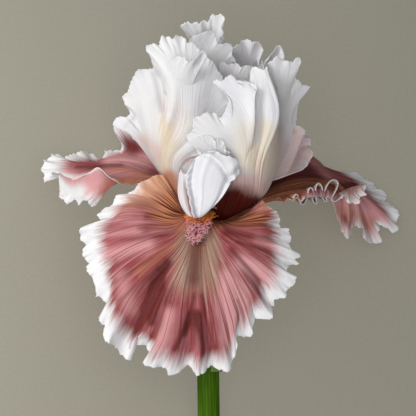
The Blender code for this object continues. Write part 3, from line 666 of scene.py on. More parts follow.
# A fold: its places across at the claw and at the margin, depth, width, start and full height
FRONT_FOLDS = (
    (0.40, 0.40, -3.6, 0.028, 0.30, 0.75), (0.345, 0.335, 1.6, 0.030, 0.35, 0.8),
    (0.46, 0.465, 1.5, 0.018, 0.55, 0.9), (0.50, 0.505, -2.6, 0.014, 0.45, 0.9),
    (0.528, 0.525, 0.9, 0.006, 0.6, 0.9), (0.545, 0.55, -2.2, 0.012, 0.5, 0.9),
    (0.70, 0.70, -2.4, 0.016, 0.4, 0.85), (0.64, 0.645, -1.0, 0.016, 0.5, 0.9),
    (0.80, 0.80, -1.6, 0.020, 0.35, 0.85), (0.86, 0.86, 1.0, 0.02, 0.35, 0.8),
    (0.24, 0.24, -1.2, 0.028, 0.4, 0.9), (0.15, 0.15, 1.0, 0.03, 0.35, 0.8),
)
# Width of the white margin in even steps across, below zero where the rose reaches the edge
FRONT_WHITE = (-6, 0, 6, 8.5, 9, 9, 8, 5, 4.5, 4.5, 5.0, 6.5, 7.5, 8, 5, -1, -7)
# A stroke: its two ends in the front plane, its width and its strength
FRONT_STROKES = {
    "cream": (((-6, -14), (-9, -36), 8.5, 1.0), ((0, -14), (2, -40), 4.5, 0.9),
              ((-16, -40), (-24, -52), 3.5, 0.5)),
    "tan": (((-12, -14), (-30, -28), 3.0, 0.6),),
    "haft": (((7, -5), (27, -4), 4.0, 0.5),),
    "vein": (((-3, -10), (-4, -50), 14.0, 0.38),),
    # The dark strokes are partly the fall's own dark red veining and partly painted shade in the
    # fold valleys.
    "deep": (((-6, -36), (-7, -50), 4.0, 0.35), ((-5, -16), (-6, -30), 4.5, 0.85),
             ((-19, -36), (-22, -50), 4.5, 0.5), ((-18, -24), (-27, -44), 2.8, 1.0),
             ((-6, -46), (-6, -60), 2.2, 0.5), ((-23, -34), (-32, -54), 3.2, 1.1),
             ((-21, -36), (-25, -50), 1.4, 0.9), ((-8, -46), (-14, -61), 1.3, 0.9),
             ((-6, -38), (-10, -56), 1.1, 0.5), ((-4, -46), (-2, -64), 1.3, 0.9),
             ((-3, -38), (2, -58), 1.1, 0.5), ((-27, -4), (-14, -3), 1.8, 0.8),
             ((-30, -9), (-16, -8), 1.8, 0.6), ((-34, 3), (-14, 0), 1.6, 0.7),
             ((-38, -14), (-18, -12), 1.5, 0.5), ((-42, -34), (-24, -22), 1.5, 0.5),
             ((-40, -42), (-22, -26), 1.5, 0.5), ((8, -5), (31, -6), 4.0, 1.3),
             ((8, -11), (31, -14), 1.8, 0.7), ((10, -18), (27, -36), 1.6, 0.8),
             ((13, -15), (36, -22), 1.4, 0.7), ((8, -24), (20, -44), 1.2, 0.5),
             ((13, -40), (18, -51), 0.9, 0.7)),
    # The pale strokes are partly the fall's own light pink and partly painted highlight on the
    # ridges of its folds.
    "pale": (((-17, -46), (-20, -60), 3.0, 0.8), ((8, -30), (10, -56), 4.5, 1.0),
             ((12, -34), (20, -46), 3.0, 0.8), ((15, -24), (32, -32), 3.6, 1.2),
             ((22, -13), (34, -17), 2.2, 0.6), ((-26, -16), (-44, -20), 3.0, 0.8),
             ((-30, -10), (-46, -12), 1.6, 0.6), ((-44, -5), (-31, -5), 4.5, 0.35),
             ((14, -37), (14, -50), 5.0, 0.8), ((-38, -30), (-34, -44), 3.5, 0.5)),
}
WEB_GRID = (20, 60)
WEB_THICKNESS = (0.5, 0.4)
# A sheet coloured dark all over as painted shade, which fills the throat's gap between the haft
# and the right standard.
SHADE_WEB = (
    ((5.5, -6.6, 6.8), (11.5, -5.2, 8.6), (17.0, -2.6, 9.8), (21.0, 1.2, 10.5)),
    ((6.5, -5.0, 4.6), (12.5, -3.0, 6.0), (18.0, 0.0, 7.0), (22.0, 3.0, 8.4)),
    ((7.0, -3.0, 2.5), (13.5, -0.5, 3.0), (19.0, 3.0, 3.6), (23.5, 5.0, 5.6)),
)


def build_front_fall():
    """The fall that faces forwards: broad soft folds, then the lobed and ruffled margin.

    Its haft is tan in a ring round the throat. A web coloured dark as painted shade closes
    the gap to the right standard.
    """
    sheet = start_petal(FRONT_FALL, 0.0)
    sheet.fold(FRONT_FOLDS)
    sheet.trim(FRONT_EDGE, 14.0)
    sheet.ruffle(Ruffle(23, 1.9, 17.0, 11), sway=0.9, crimp=0.6, nick=0.35)
    across, along = sheet.across, sheet.along
    side, up = sheet.plain[..., 0], sheet.plain[..., 1]
    strokes = {key: strokes_at(sheet.plain, spots) for key, spots in FRONT_STROKES.items()}
    white = np.interp(across, np.linspace(0.0, 1.0, len(FRONT_WHITE)), FRONT_WHITE)
    cream = np.clip(strokes["cream"], 0.0, 1.0) * smoothstep(up, -5.0, -12.0)
    cream = cream * smoothstep(up, -50.0, -24.0)
    left_rim = smoothstep(across, 0.17, 0.05) * smoothstep(along, 0.4, 0.8)
    right_rim = smoothstep(across, 0.92, 0.97) * smoothstep(along, 0.6, 0.95)
    from_throat = np.hypot(side + 4.0, 1.15 * (up + 1.0))
    haft = smoothstep(from_throat, 6.0, 9.0) * smoothstep(from_throat, 26.0, 13.0)
    haft = haft * smoothstep(up, -13.0, -3.0) * (1.0 - 0.45 * smoothstep(side, 0.0, 6.0))
    below = smoothstep(from_throat, 18.0, 11.0) * smoothstep(up, -15.0, -8.0)
    # Darker towards the throat: the haft's own dark red, with painted shade in the throat's
    # hollow.
    throat = (0.1 + 0.7 * smoothstep(side, -6.0, 4.0)) * smoothstep(from_throat, 15.0, 6.0)
    traits = fall_traits(sheet, white, cream=cream, tan=strokes["tan"],
                         rim=0.85 * np.maximum(left_rim, 0.35 * right_rim),
                         haft=np.maximum(haft, np.maximum(0.55 * below, strokes["haft"])),
                         deep=np.clip(throat + strokes["deep"], 0.0, 1.0),
                         pale=np.clip(strokes["pale"], 0.0, 1.0), vein=0.62 + strokes["vein"])
    web = Sheet(SHADE_WEB[0], SHADE_WEB[1:], np.linspace(0.0, 1.0, WEB_GRID[0]),
                np.linspace(0.0, 1.0, WEB_GRID[1]))
    web_traits = fall_traits(web, -20.0, deep=1.0, haft=0.6)
    piece = petal_piece("fall_front_petal",
                        [sheet.shell(FALL_THICKNESS, traits),
                         web.shell(WEB_THICKNESS, web_traits)],
                        fall_finish("fall_front_rose", 1.0))
    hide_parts("fall_front")


FALL_LEFT_EDGE = (
    (-27, 12), (-29, 10.8), (-31, 11.2), (-33, 10.4), (-35, 10.9), (-37, 10.2), (-40.2, 11.6),
    (-44, 14), (-46.5, 16.6), (-48.5, 17.8), (-51, 16.4), (-54, 14.8), (-58, 12.8), (-61, 12.4),
    (-64, 14.5), (-66.5, 15.4), (-69, 15.8), (-70.5, 12.4), (-72, 12.2), (-72.8, 14.2),
    (-73.4, 16.5), (-73, 20), (-71, 22), (-67.5, 24), (-66.1, 22), (-66, 19.5), (-64.6, 18.4),
    (-64.4, 21), (-62, 23.2), (-60, 23.8), (-58, 24.8), (-55.5, 25), (-53, 24.6), (-51.2, 23.6),
    (-50.3, 21.6), (-47, 22.2), (-46.2, 24.2), (-44, 25.5), (-41, 25.9), (-38.8, 24.6),
    (-38.2, 26), (-38.8, 29), (-40.2, 32), (-42.4, 36), (-39, 36), (-33, 30),
)
FALL_LEFT_FOLDS = (
    (0.3, 0.3, 1.5, 0.02, 0.5, 0.9), (0.38, 0.38, -1.2, 0.02, 0.4, 0.85),
    (0.5, 0.5, 1.2, 0.03, 0.4, 0.85), (0.6, 0.6, -1.5, 0.02, 0.4, 0.85),
    (0.75, 0.75, 1.2, 0.02, 0.4, 0.85),
)
# Place across, and width of the white margin there
FALL_LEFT_WHITE = np.array([
    (0.0, -5.0), (0.1, -4.0), (0.2, 1.0), (0.25, 2.0), (0.3, 2.2), (0.36, 2.2), (0.42, 2.5),
    (0.47, 7.0), (0.55, 9.0), (0.62, 8.0), (0.68, 7.0), (0.74, 7.0), (0.8, 6.0), (0.86, 6.0),
    (0.92, 3.0), (1.0, 1.0),
])
FALL_LEFT_STROKES = {
    "pale": (((-26, 21), (-44, 21.5), 3.0, 1.0), ((-56, 12), (-63, 14), 4.0, 0.9),
             ((-30, 15), (-44, 15), 3.5, 0.5)),
    "deep": (((-38, 18.5), (-58, 17.8), 1.6, 0.7), ((-38, 32), (-33, 26), 4.0, 0.9),
             ((-24, 15), (-32, 13), 2.4, 0.3)),
}
FALL_LEFT_HANG = (
    ((-38.5, 11.6, 11.0), (-44.0, 13.4, 11.2), (-48.5, 16.8, 8.8), (-54.0, 14.0, 5.0),
     (-60.0, 12.8, -0.8), (-65.5, 15.6, -9.0)),
    ((-43.0, 8.6, 14.6), (-47.0, 10.0, 14.6), (-51.0, 10.8, 13.5), (-56.0, 8.8, 10.5),
     (-61.0, 8.8, 5.5), (-65.6, 12.4, -3.0)),
    ((-47.0, 4.0, 14.6), (-50.0, 4.6, 15.0), (-53.5, 5.6, 14.0), (-57.5, 5.0, 12.0),
     (-61.5, 5.2, 8.0), (-65.2, 8.6, 0.0)),
    ((-49.4, 0.9, 13.6), (-51.5, 1.3, 14.4), (-54.5, 3.2, 14.0), (-56.5, 2.2, 12.8),
     (-59.0, 3.6, 11.0), (-62.0, 2.0, 9.0), (-64.8, 4.6, 5.0), (-65.4, 9.0, -1.0)),
)


def lobe_sheet(rows, ruffle, sway, crimp):
    """The middle surface of a small lobe of a margin that folds over in front of its petal."""
    sheet = Sheet(rows[0], rows[1:], petal_steps(LOBE_GRID[0], LOBE_CROWDING),
                  np.linspace(0.0, 1.0, LOBE_GRID[1]))
    sheet.ruffle(ruffle, sway=sway, crimp=crimp, nick=0.25)
    return sheet


def build_left_fall():
    """The fall behind on the left: it lies out flat, and its near half hangs as a pale lobe."""
    sheet = start_petal(LEFT_FALL, -120.0)
    sheet.fold(FALL_LEFT_FOLDS)
    sheet.trim(FALL_LEFT_EDGE, 10.0)
    sheet.ruffle(Ruffle(20, 1.0, 9.0, 12), sway=0.5, crimp=0.35, nick=0.3, window=(0.40, 1.0))
    across, along = sheet.across, sheet.along
    pale, deep = (strokes_at(sheet.points, FALL_LEFT_STROKES[key]) for key in ("pale", "deep"))
    haft = smoothstep(along, 0.1, 0.2) * smoothstep(along, 0.78, 0.5)
    traits = fall_traits(sheet, np.interp(across, *FALL_LEFT_WHITE.T),
                         tan=smoothstep(across, 0.24, 0.12) * smoothstep(along, 0.6, 0.9),
                         haft=haft * smoothstep(across, 0.5, 0.36),
                         pale=np.clip(pale, 0.0, 1.0),
                         deep=np.clip(deep + 0.5 * smoothstep(along, 0.4, 0.2), 0.0, 1.0))
    hang = lobe_sheet(FALL_LEFT_HANG, Ruffle(4, 0.9, 8.0, 52), 0.5, 0.15)
    hang_traits = fall_traits(hang, 3.5 + 6.5 * smoothstep(hang.across, 0.3, 0.7),
                              pale=smoothstep(hang.across, 0.0, 0.25),
                              tan=0.5 * smoothstep(hang.across, 0.45, 0.1))
    piece = petal_piece("fall_left_petal",
                        [sheet.shell(FALL_THICKNESS, traits),
                         hang.shell(FALL_LOBE_THICKNESS, hang_traits)],
                        fall_finish("fall_left_rose", 4.0))
    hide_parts("fall_left")


FALL_RIGHT_EDGE = (
    (35, 26), (45.5, 23.5), (50, 20.5), (53, 16), (55, 12.8), (57.8, 12), (58.6, 13.8),
    (61, 15.2), (64, 15.7), (67.5, 14.6), (70, 12.8), (73, 11), (76, 8.3), (78.8, 6.2),
    (79.3, 3.5), (77, 0.6), (80, 1.6), (83, 0.2), (85, -2), (84.2, -5), (83, -7.6), (85, -9.3),
    (83.8, -11), (81, -10), (78, -8), (75, -8.6), (76.4, -10.4), (75, -12), (77, -15.2),
    (74.2, -15), (72, -16.2), (70.3, -15.2), (69.4, -12), (67, -8.5), (63.8, -6.2), (63.2, -9),
    (62.8, -12.4), (61.8, -14), (60.2, -12), (59, -9.5), (57.5, -5), (56, -1.5), (54.5, 3.4),
    (51.5, 4.6), (48, 4.8), (44.5, 4.6), (41, 3.6), (37.5, 4), (34, 3.2), (30, 4.4), (26.5, 3.8),
)
FALL_RIGHT_FOLDS = (
    (0.3, 0.3, 1.2, 0.02, 0.4, 0.85), (0.42, 0.42, -1.5, 0.02, 0.45, 0.9),
    (0.5, 0.5, 1.4, 0.02, 0.45, 0.9), (0.58, 0.58, -1.5, 0.02, 0.45, 0.9),
    (0.65, 0.655, -1.6, 0.012, 0.6, 0.9),
)
FALL_RIGHT_WHITE = np.array([
    (0.0, -3.0), (0.12, -3.0), (0.17, 6.0), (0.23, 8.0), (0.35, 7.0), (0.41, 5.0), (0.5, 3.0),
    (0.55, 2.0), (0.6, -1.0), (0.65, 3.0), (0.7, -2.0), (0.76, -1.0), (0.8, -1.0),
    (0.88, -1.0), (0.92, -2.0), (1.0, -6.0),
])
FALL_RIGHT_STROKES = {
    "tan": (((57, -2), (72, -8), 6.0, 0.6),),
    "pale": (((57, 0), (62, -8), 4.5, 1.4), ((64, 0), (76, -10), 7.0, 1.4),
             ((47, 20), (54, 13), 2.6, 0.4)),
    "deep": (((57, 8.5), (68, 10), 2.6, 1.2), ((60, -4), (62, -8), 1.8, 0.7)),
    "lit": (((46, 21), (53, 14), 2.6, 0.8),),
}
FALL_RIGHT_PLEATS = (
    (37.5, 4.2), (39.2, 5.9), (40.2, 3.2), (41.5, 1.6), (42.8, 2.2), (43.8, 5.2), (45, 8.9),
    (46.4, 7.4), (46.1, 4.6), (46.8, 2.3), (48.0, 2.2), (47.4, 5.2), (47.6, 9), (48.8, 10.9),
    (50.3, 9), (50.4, 6), (51.2, 3.4), (52.6, 3), (51.3, 6), (52.4, 9.6), (54, 11.9), (56, 12.4),
    (57.4, 11), (56.6, 8), (55.2, 5.6), (54.4, 3.8), (56, 2.9), (58, 4.0), (60, 5.8),
)
PLEAT_GRID = (14, 360)
PLEAT_THICKNESS = (0.5, 0.5)
PLEAT_DEPTH = 7.0
PLEAT_SLANT = 2.4
PLEAT_FROM = 39.0
PLEAT_FRONT = 6.0
PLEAT_RETREAT = 0.85
PLEAT_MIDDLE = 6.6
PLEAT_FLATTENED = 0.6
FALL_RIGHT_FLAP = (
    ((57.5, 6.4, -13.0), (63.0, 9.0, -16.0), (70.0, 11.0, -20.0)),
    ((58.5, 5.0, -11.6), (61.5, 5.4, -12.6), (65.0, 6.0, -14.4), (69.9, 10.0, -18.4)),
    ((58.5, 4.0, -10.8), (60.5, 4.6, -11.0), (62.0, 2.4, -11.4), (65.2, 2.0, -12.4),
     (67.0, 4.2, -14.0), (68.8, 6.0, -15.6), (69.8, 9.4, -17.6)),
)


def pleats():
    """The looped pleats of the right fall's near margin.

    A band runs from the margin line back into the petal. Its front lies further back the
    further it is from the throat, and at its back the loops are flattened towards their middle.
    """
    line = np.array(FALL_RIGHT_PLEATS)
    front = np.column_stack([line, PLEAT_FRONT - PLEAT_RETREAT * (line[:, 0] - PLEAT_FROM)])
    back = front + (-PLEAT_SLANT, 0.0, -PLEAT_DEPTH)
    back[:, 1] = PLEAT_MIDDLE + PLEAT_FLATTENED * (line[:, 1] - PLEAT_MIDDLE)
    sheet = Sheet(back, [front], np.linspace(0.0, 1.0, PLEAT_GRID[0]),
                  np.linspace(0.0, 1.0, PLEAT_GRID[1]))
    # The loops grow darker towards their back, as painted shade inside them.
    traits = fall_traits(sheet, 0.6 * smoothstep(sheet.across, 0.06, 0.25),
                         tan=smoothstep(sheet.across, 0.3, 0.1),
                         cream=0.8 * smoothstep(sheet.across, 0.1, 0.3),
                         deep=0.2 * smoothstep(sheet.along, 0.9, 0.3))
    return sheet.shell(PLEAT_THICKNESS, traits)


def build_right_fall():
    """The fall behind on the right: a pleated near margin and a lobe that droops at its end."""
    sheet = start_petal(RIGHT_FALL, 120.0)
    sheet.fold(FALL_RIGHT_FOLDS)
    sheet.trim(FALL_RIGHT_EDGE, 10.0)
    sheet.ruffle(Ruffle(22, 0.8, 9.0, 13), sway=0.5, crimp=0.35, nick=0.3, window=(0.05, 0.76))
    sheet.ruffle(Ruffle(40, 1.3, 6.0, 18), sway=0.6, window=(0.87, 1.0))
    across, along = sheet.across, sheet.along
    side, up = sheet.points[..., 0], sheet.points[..., 1]
    strokes = {key: strokes_at(sheet.points, spots) for key, spots in FALL_RIGHT_STROKES.items()}
    tan = smoothstep(across, 0.86, 0.92) * smoothstep(sheet.from_margin, 9.0, 2.0)
    haft = 0.75 * smoothstep(along, 0.1, 0.2) * smoothstep(along, 0.95, 0.7)
    # Darker over the near upper surface: the fall's own dark red-brown with the standards' shadow
    # painted on it; the lit stroke spares a patch.
    deep = smoothstep(along, 0.97, 0.7) * smoothstep(side, 60.0, 52.0)
    deep = deep * (1.0 - strokes["lit"]) * smoothstep(up, 2.0, 6.0)
    traits = fall_traits(sheet, np.interp(across, *FALL_RIGHT_WHITE.T),
                         tan=np.maximum(tan, strokes["tan"]),
                         haft=haft * smoothstep(across, 0.5, 0.7),
                         pale=np.clip(strokes["pale"], 0.0, 1.0),
                         deep=np.clip(deep + strokes["deep"], 0.0, 1.0))
    flap = lobe_sheet(FALL_RIGHT_FLAP, Ruffle(4, 0.9, 8.0, 53), 0.5, 0.15)
    flap_traits = fall_traits(flap, 1.8, pale=0.3, cream=0.5)
    piece = petal_piece("fall_right_petal",
                        [sheet.shell(FALL_THICKNESS, traits),
                         flap.shell(FALL_LOBE_THICKNESS, flap_traits), pleats()],
                        fall_finish("fall_right_rose", 9.0))
    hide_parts("fall_right")


build_front_fall()
build_left_fall()
build_right_fall()


# Standards: three white petals that stand up and arch over the style arms. Each has a firm
# cream midrib from a salmon claw, and thin, crimped, lobed margins.
LEFT_STANDARD = (
    ((-11.0, -0.5, 1.5), (-9.5, -1.0, 4.0), (-7.5, -0.5, 6.5)),
    ((-18.2, 11.0, 4.5), (-18.0, 11.5, 7.0), (-16.0, 10.5, 8.8), (-13.6, 9.5, 9.5),
     (-11.4, 8.6, 9.0)),
    ((-24.5, 20.5, 3), (-24, 23, 9.5), (-20.5, 22.5, 13.5), (-16.5, 21.5, 15.5),
     (-12.4, 17.5, 13.5)),
    ((-31, 29, -1), (-28.5, 33, 6), (-25.5, 35.5, 11.5), (-21, 36, 15.5), (-16.5, 37, 17.5),
     (-11.5, 36, 18.5), (-6, 33.5, 18.5), (-5.5, 28.5, 18), (-8.0, 22.0, 15.5)),
    ((-37, 34.8, -5), (-31.5, 39.5, 0), (-29, 49, 3), (-20, 50.5, 8.5), (-15.5, 55, 14.5),
     (-11, 57, 15), (0, 48.5, 14.5), (4.5, 34.5, 14.5), (-3.5, 23.0, 16.5)),
    ((-41.5, 38, -7), (-38.5, 40.5, -7), (-36.5, 43.8, -6), (-37, 49, -8), (-33.5, 57.5, -9),
     (-27.5, 61.2, -7), (-22.5, 62, 0), (-25.5, 66.3, 6), (-26.8, 71.3, 9), (-19, 75, 8),
     (-10, 74, 7), (-2, 68.5, 8), (5, 60, 8.5), (10.5, 48, 9), (12.5, 37, 9.5),
     (9.0, 28, 13), (2.0, 23.5, 16.5)),
)
RIGHT_STANDARD = (
    ((6.6, -1.8, 8.4), (11.0, -2.8, 7.4), (13.5, -1.5, 2.5)),
    ((9.4, 6.0, 13.5), (14, 5.4, 16), (19, 4.9, 14.5), (22.5, 5.2, 10.5), (24.6, 6.2, 4)),
    ((10.6, 10.5, 15.0), (15, 13.6, 19), (20, 16.5, 18.5), (25.6, 16.5, 15), (29.0, 14.5, 4)),
    ((8.4, 14.2, 18.5), (9.5, 24, 20.5), (13, 29, 22), (18, 31, 21), (22, 31, 19),
     (26.9, 31, 18), (29.5, 29, 12), (32.0, 26.5, 3), (34.5, 25, -5)),
    ((4.6, 16.4, 21.6), (2.2, 28.5, 23.5), (8, 36.5, 23), (14, 42.5, 20.5), (20, 47, 18),
     (29.2, 44, 17), (31.5, 44, 9), (34, 42, 0), (37, 33, -7)),
    ((0.8, 17.5, 22.4), (-4.6, 23.6, 22.8), (-8.0, 30.5, 24.6), (-5.5, 38, 25), (1.5, 42, 23),
     (6.8, 45, 22), (6, 50.5, 21), (4, 56, 20), (11, 57.5, 18), (19, 55, 17),
     (22.5, 61.5, 16), (28.5, 56, 13.5), (28.0, 63.0, 8.5), (38.0, 64.5, 4), (39.5, 57.5, 0),
     (42, 51, -5), (38.5, 38, -8)),
)
BACK_STANDARD = (
    ((4.2, 1.0, -8.8), (0, 0.5, -10.5), (-4.2, 1.0, -8.8)),
    ((14, 8, -12), (8, 10, -17), (0, 11, -19.5), (-8, 11, -17), (-12, 10, -13)),
    ((26, 11.5, -7), (21, 20, -19.5), (3, 25, -28), (-14, 24, -23.5), (-22, 19.5, -12)),
    ((34, 14, -2.5), (38, 25, -12), (31, 35, -23.5), (20, 43, -29.5), (7, 47, -32),
     (-4, 46.5, -31.5), (-14, 44, -28.5), (-23, 37, -22), (-29, 26.5, -12)),
    ((38.5, 15.6, 0.5), (43, 29, -9), (35.5, 42, -20.5), (25.5, 57, -22), (15, 64, -20),
     (6, 67, -18), (-3, 66, -18), (-11.5, 58, -20.5), (-32.5, 32.5, -13.5)),
    ((41, 16.5, 2), (45, 21, -1), (46, 29, -7), (43, 37, -14), (40, 48, -18),
     (36.5, 57, -17.5), (33, 68.5, -15), (25, 72, -13), (16, 74.5, -13), (11, 72.5, -12),
     (7.0, 80, -10), (0, 84.5, -10), (-10.0, 80.5, -8), (-13, 75, -12), (-18.5, 67, -17),
     (-27, 54, -19), (-34, 38, -15)),
)
STANDARD_THICKNESS = (0.9, 0.26)
STANDARD_LOBE_THICKNESS = (0.4, 0.26)
STANDARD_WHITE = (0.90, 0.90, 0.905)
STANDARD_SHADE = (0.77, 0.77, 0.83)
STANDARD_CREAM = (0.90, 0.82, 0.66)
# Pink, partly the petal's own flush and partly painted shade where light comes through under
# folds.
STANDARD_BLUSH_SHADE = (0.86, 0.64, 0.61)
# Grey-lilac painted shade, beside folds and on lobes that turn from the light.
STANDARD_PAINTED_SHADE = (0.60, 0.57, 0.61)
SALMON = (0.72, 0.30, 0.17)
# Dark red in the throat's hollow: painted shade over the claw's own dark red.
THROAT_MAROON_SHADE = (0.10, 0.008, 0.004)
STANDARD_LIGHT = (0.93, 0.93, 0.94)
VEIN_TAN = (0.72, 0.46, 0.30)
STANDARD_TRAITS = ("painted_shade", "cream", "blush_and_shade", "salmon", "maroon_and_shade", "vein")


def standard_finish(name, seed):
    """Thin white flesh with fine veins, and cream and salmon in soft strokes. More strokes are
    painted shade: grey-lilac beside folds and on lobes turned from the light, pink over the
    petal's own pink where light comes through, and dark red over the claw's own in the throat.
    """
    skin = Finish(name, 0.6, specular=0.15)
    streak = skin.noise(skin.surface_uv(80.0, 2.4, seed), 4.0, 0.6)
    fine = skin.noise(skin.surface_uv(300.0, 7.0, seed + 5.0), 3.0, 0.6)
    patch = skin.noise(skin.place(45.0), 3.0)
    vein = skin.lines(skin.noise(skin.surface_uv(56.0, 1.5, seed + 8.0), 1.0), 0.05)
    colour = skin.mix(skin.ramp(patch, 0.4, 0.7, 0.0, 0.5), STANDARD_WHITE, STANDARD_SHADE)
    colour = skin.mix(skin.ramp(streak, 0.42, 0.62, 0.0, 0.6), colour, STANDARD_LIGHT)
    wander = skin.centred(streak, 0.7)
    # Cream and salmon are the petal's own colours. The grey-lilac is painted shade, the pink is
    # partly painted shade, and the dark red is partly painted shade in the throat.
    for trait, tint in (("painted_shade", STANDARD_PAINTED_SHADE), ("cream", STANDARD_CREAM),
                        ("blush_and_shade", STANDARD_BLUSH_SHADE), ("salmon", SALMON), ("maroon_and_shade", THROAT_MAROON_SHADE)):
        share = skin.ramp(skin.math("ADD", skin.trait(trait), wander), 0.1, 1.0)
        colour = skin.mix(share, colour, tint)
    thread = skin.math("MULTIPLY", skin.trait("vein"), vein)
    colour = skin.mix(skin.math("MULTIPLY", thread, 0.6), colour, VEIN_TAN)
    normal = skin.bump(fine, 0.10, skin.bump(streak, 0.30))
    return skin.finish(colour, normal, through=0.34)


def standard_traits(sheet, strokes):
    """Vertex traits of a standard: its strokes of colour and of veins."""
    return {key: np.clip(strokes_at(sheet.plain, strokes.get(key, ())), 0.0, 1.0)
            for key in STANDARD_TRAITS}


def standard_part(rows, azimuth_deg, ruffle, line, sides, lifts, folds, strokes):
    """One overlapping part of a standard, from its left side to its right side.

    Its claw is salmon and then cream, whatever strokes it has.
    """
    sheet = start_petal(rows, azimuth_deg, sides)
    sheet.fold(folds)
    for lift in lifts:
        sheet.lift_edge(*lift)
    sheet.trim(line, 11.0)
    sheet.ruffle(ruffle, sway=0.3, crimp=0.16, nick=0.3)
    traits = standard_traits(sheet, strokes)
    traits["salmon"] = np.maximum(traits["salmon"], smoothstep(sheet.along, 0.2, 0.08))
    traits["cream"] = np.maximum(traits["cream"], smoothstep(sheet.along, 0.34, 0.12))
    return sheet.shell(STANDARD_THICKNESS, traits)


def lobe_part(rows, seed, strokes):
    """A lobe of the margin that folds over in front of its petal, rooted in the petal's face."""
    sheet = lobe_sheet(rows, Ruffle(3, 0.5, 7.0, seed), 0.3, 0.12)
    return sheet.shell(STANDARD_LOBE_THICKNESS, standard_traits(sheet, strokes))


def finish_standard(side, shells, seed):
    """Joins a standard's parts into one piece."""
    name = "standard_" + side
    piece = petal_piece(name + "_petal", shells, standard_finish(name + "_white", seed))
    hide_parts(name)


LEFT_EDGE = (
    (-42, 36.5), (-41, 39), (-38.8, 40.3), (-35.2, 40.5), (-34.3, 41.5), (-36, 44.5),
    (-37.3, 47), (-37.2, 49), (-36, 51), (-34.8, 53), (-34, 55), (-33.3, 57.5), (-32.5, 59),
    (-31, 60.3), (-29.5, 61), (-28, 61.6), (-26, 61.2), (-24, 61.5), (-24.5, 64), (-26, 68),
    (-27.5, 70.3), (-26.5, 71.3), (-24.8, 71.4), (-23.5, 72.5), (-22.3, 71.7), (-21, 74),
    (-19.8, 75.2), (-18, 75), (-17, 75.8), (-16, 74.9), (-14.5, 75.8), (-12.5, 74.6),
    (-10, 74.8), (-9, 73.2), (-7.5, 72.8), (-5, 71), (-3, 69.5), (0, 66.5), (4, 61.5), (8, 54),
    (10.5, 48), (12.5, 37), (9, 28), (2, 23.5),
)
RIGHT_EDGE = (
    (0.8, 17.5), (-3, 22), (-6, 27), (-8.3, 30), (-8, 33), (-7.5, 35.5), (-6.2, 37),
    (-5.5, 39), (-4, 40.5), (-2.5, 41.6), (-0.5, 41.8), (1, 41), (2.2, 40.6), (3.8, 41.2),
    (4.5, 40), (6, 40.6), (6.5, 42), (8, 44), (9.3, 46.2), (9.4, 47.8), (8, 49.5), (5, 52.8),
    (2.6, 55.2), (4, 56), (5.5, 56), (7, 57), (8.5, 56.9), (10, 57.6), (12, 57.2), (13.3, 56),
    (15, 55.6), (17, 55), (19, 55.2), (21, 54.5),
)
RIGHT_INNER_EDGE = (
    (18.5, 56.5), (19.8, 61), (21.5, 62.2), (23.5, 61.6), (25.5, 61.4), (27.2, 59.8),
    (27.6, 57.5), (27.2, 55.5), (28.5, 54.3), (30, 53.2),
)
RIGHT_OUTER_EDGE = (
    (23.3, 63.5), (25.5, 64), (27, 65), (29, 65.6), (30.3, 66.5), (31.5, 65), (33.5, 64.8),
    (35, 65.2), (37.5, 64.4), (38.3, 65.5), (40.6, 65), (40.5, 62.5), (39, 60), (37.5, 56),
    (40.5, 56.5), (41.8, 54.8), (44.8, 53), (41, 50.5), (39.5, 45), (38.5, 38),
)
BACK_EDGE = (
    (41, 16.5), (43.8, 18.8), (45.4, 22), (45.7, 26), (44.6, 30), (42.3, 34), (39.6, 37),
    (39, 42), (40, 46), (40.5, 50), (40.5, 54), (38.5, 58), (36, 62), (33.6, 66), (33.4, 70),
    (31.8, 71.9), (29.5, 70.2), (27, 67), (25, 64.3), (23, 63.2), (22.7, 66), (24.3, 69.5),
    (23.3, 72), (21, 73), (20, 72.7), (18.3, 74.7), (15.8, 74.8), (14.5, 72), (13, 71.5),
    (11, 70.5), (10.3, 70.2), (8.8, 72.3), (7.5, 73.2), (6, 73.8), (5, 75), (6.7, 76.8),
    (6, 79.3), (5.8, 80.5), (7, 84.5), (4.8, 85.2), (3.3, 84.5), (2, 85.2), (0.7, 83.8),
    (0, 82.3), (-1, 83), (-2.5, 82.3), (-3.7, 80.9), (-5, 82), (-6.5, 81.8), (-7.5, 81.4),
    (-9, 82.2), (-10.5, 81.3), (-11.8, 80.3), (-10, 77.5), (-8, 75), (-9, 71), (-13, 68),
    (-18.5, 64), (-27, 54), (-34, 38),
)
LEFT_LIP = (
    ((-19.0, 48.0, 6.5), (-15.0, 45.0, 13.0), (-8.0, 47.0, 13.5)),
    ((-20.0, 55.0, 9.8), (-16.0, 55.0, 14.6), (-11.0, 55.5, 16.3), (-6.0, 56.0, 15.2)),
    ((-21.0, 60.5, 10.5), (-17.5, 63.6, 14.5), (-14.5, 65.6, 16.5), (-10.5, 66.0, 17.0),
     (-7.0, 64.6, 16.5), (-4.0, 66.5, 15.5), (-1.5, 69.6, 13.0), (-0.5, 66.5, 14.0)),
)
BACK_LIP = (
    ((-6.0, 58.0, -16.0), (2.0, 57.0, -14.0), (11.0, 57.0, -15.0)),
    ((-8.0, 67.0, -12.0), (0.0, 67.0, -9.0), (10.5, 64.0, -12.0)),
    ((-8.5, 73.5, -9.0), (-5.0, 77.0, -6.0), (0.0, 77.6, -5.5), (3.5, 75.5, -7.0),
     (5.5, 72.5, -7.5), (8.5, 72.3, -8.0), (10.8, 69.5, -9.0), (12.5, 63.5, -11.5)),
)
BACK_INNER_LIP = (
    ((5.0, 50.0, -13.0), (13.0, 50.0, -11.0), (21.0, 51.0, -11.0)),
    ((5.0, 58.0, -10.5), (13.0, 58.0, -7.0), (22.0, 58.0, -8.0)),
    ((5.0, 64.0, -9.5), (9.0, 64.2, -7.8), (13.0, 62.8, -6.6), (17.0, 62.8, -6.6),
     (20.0, 61.8, -7.0), (24.0, 63.0, -8.0)),
)
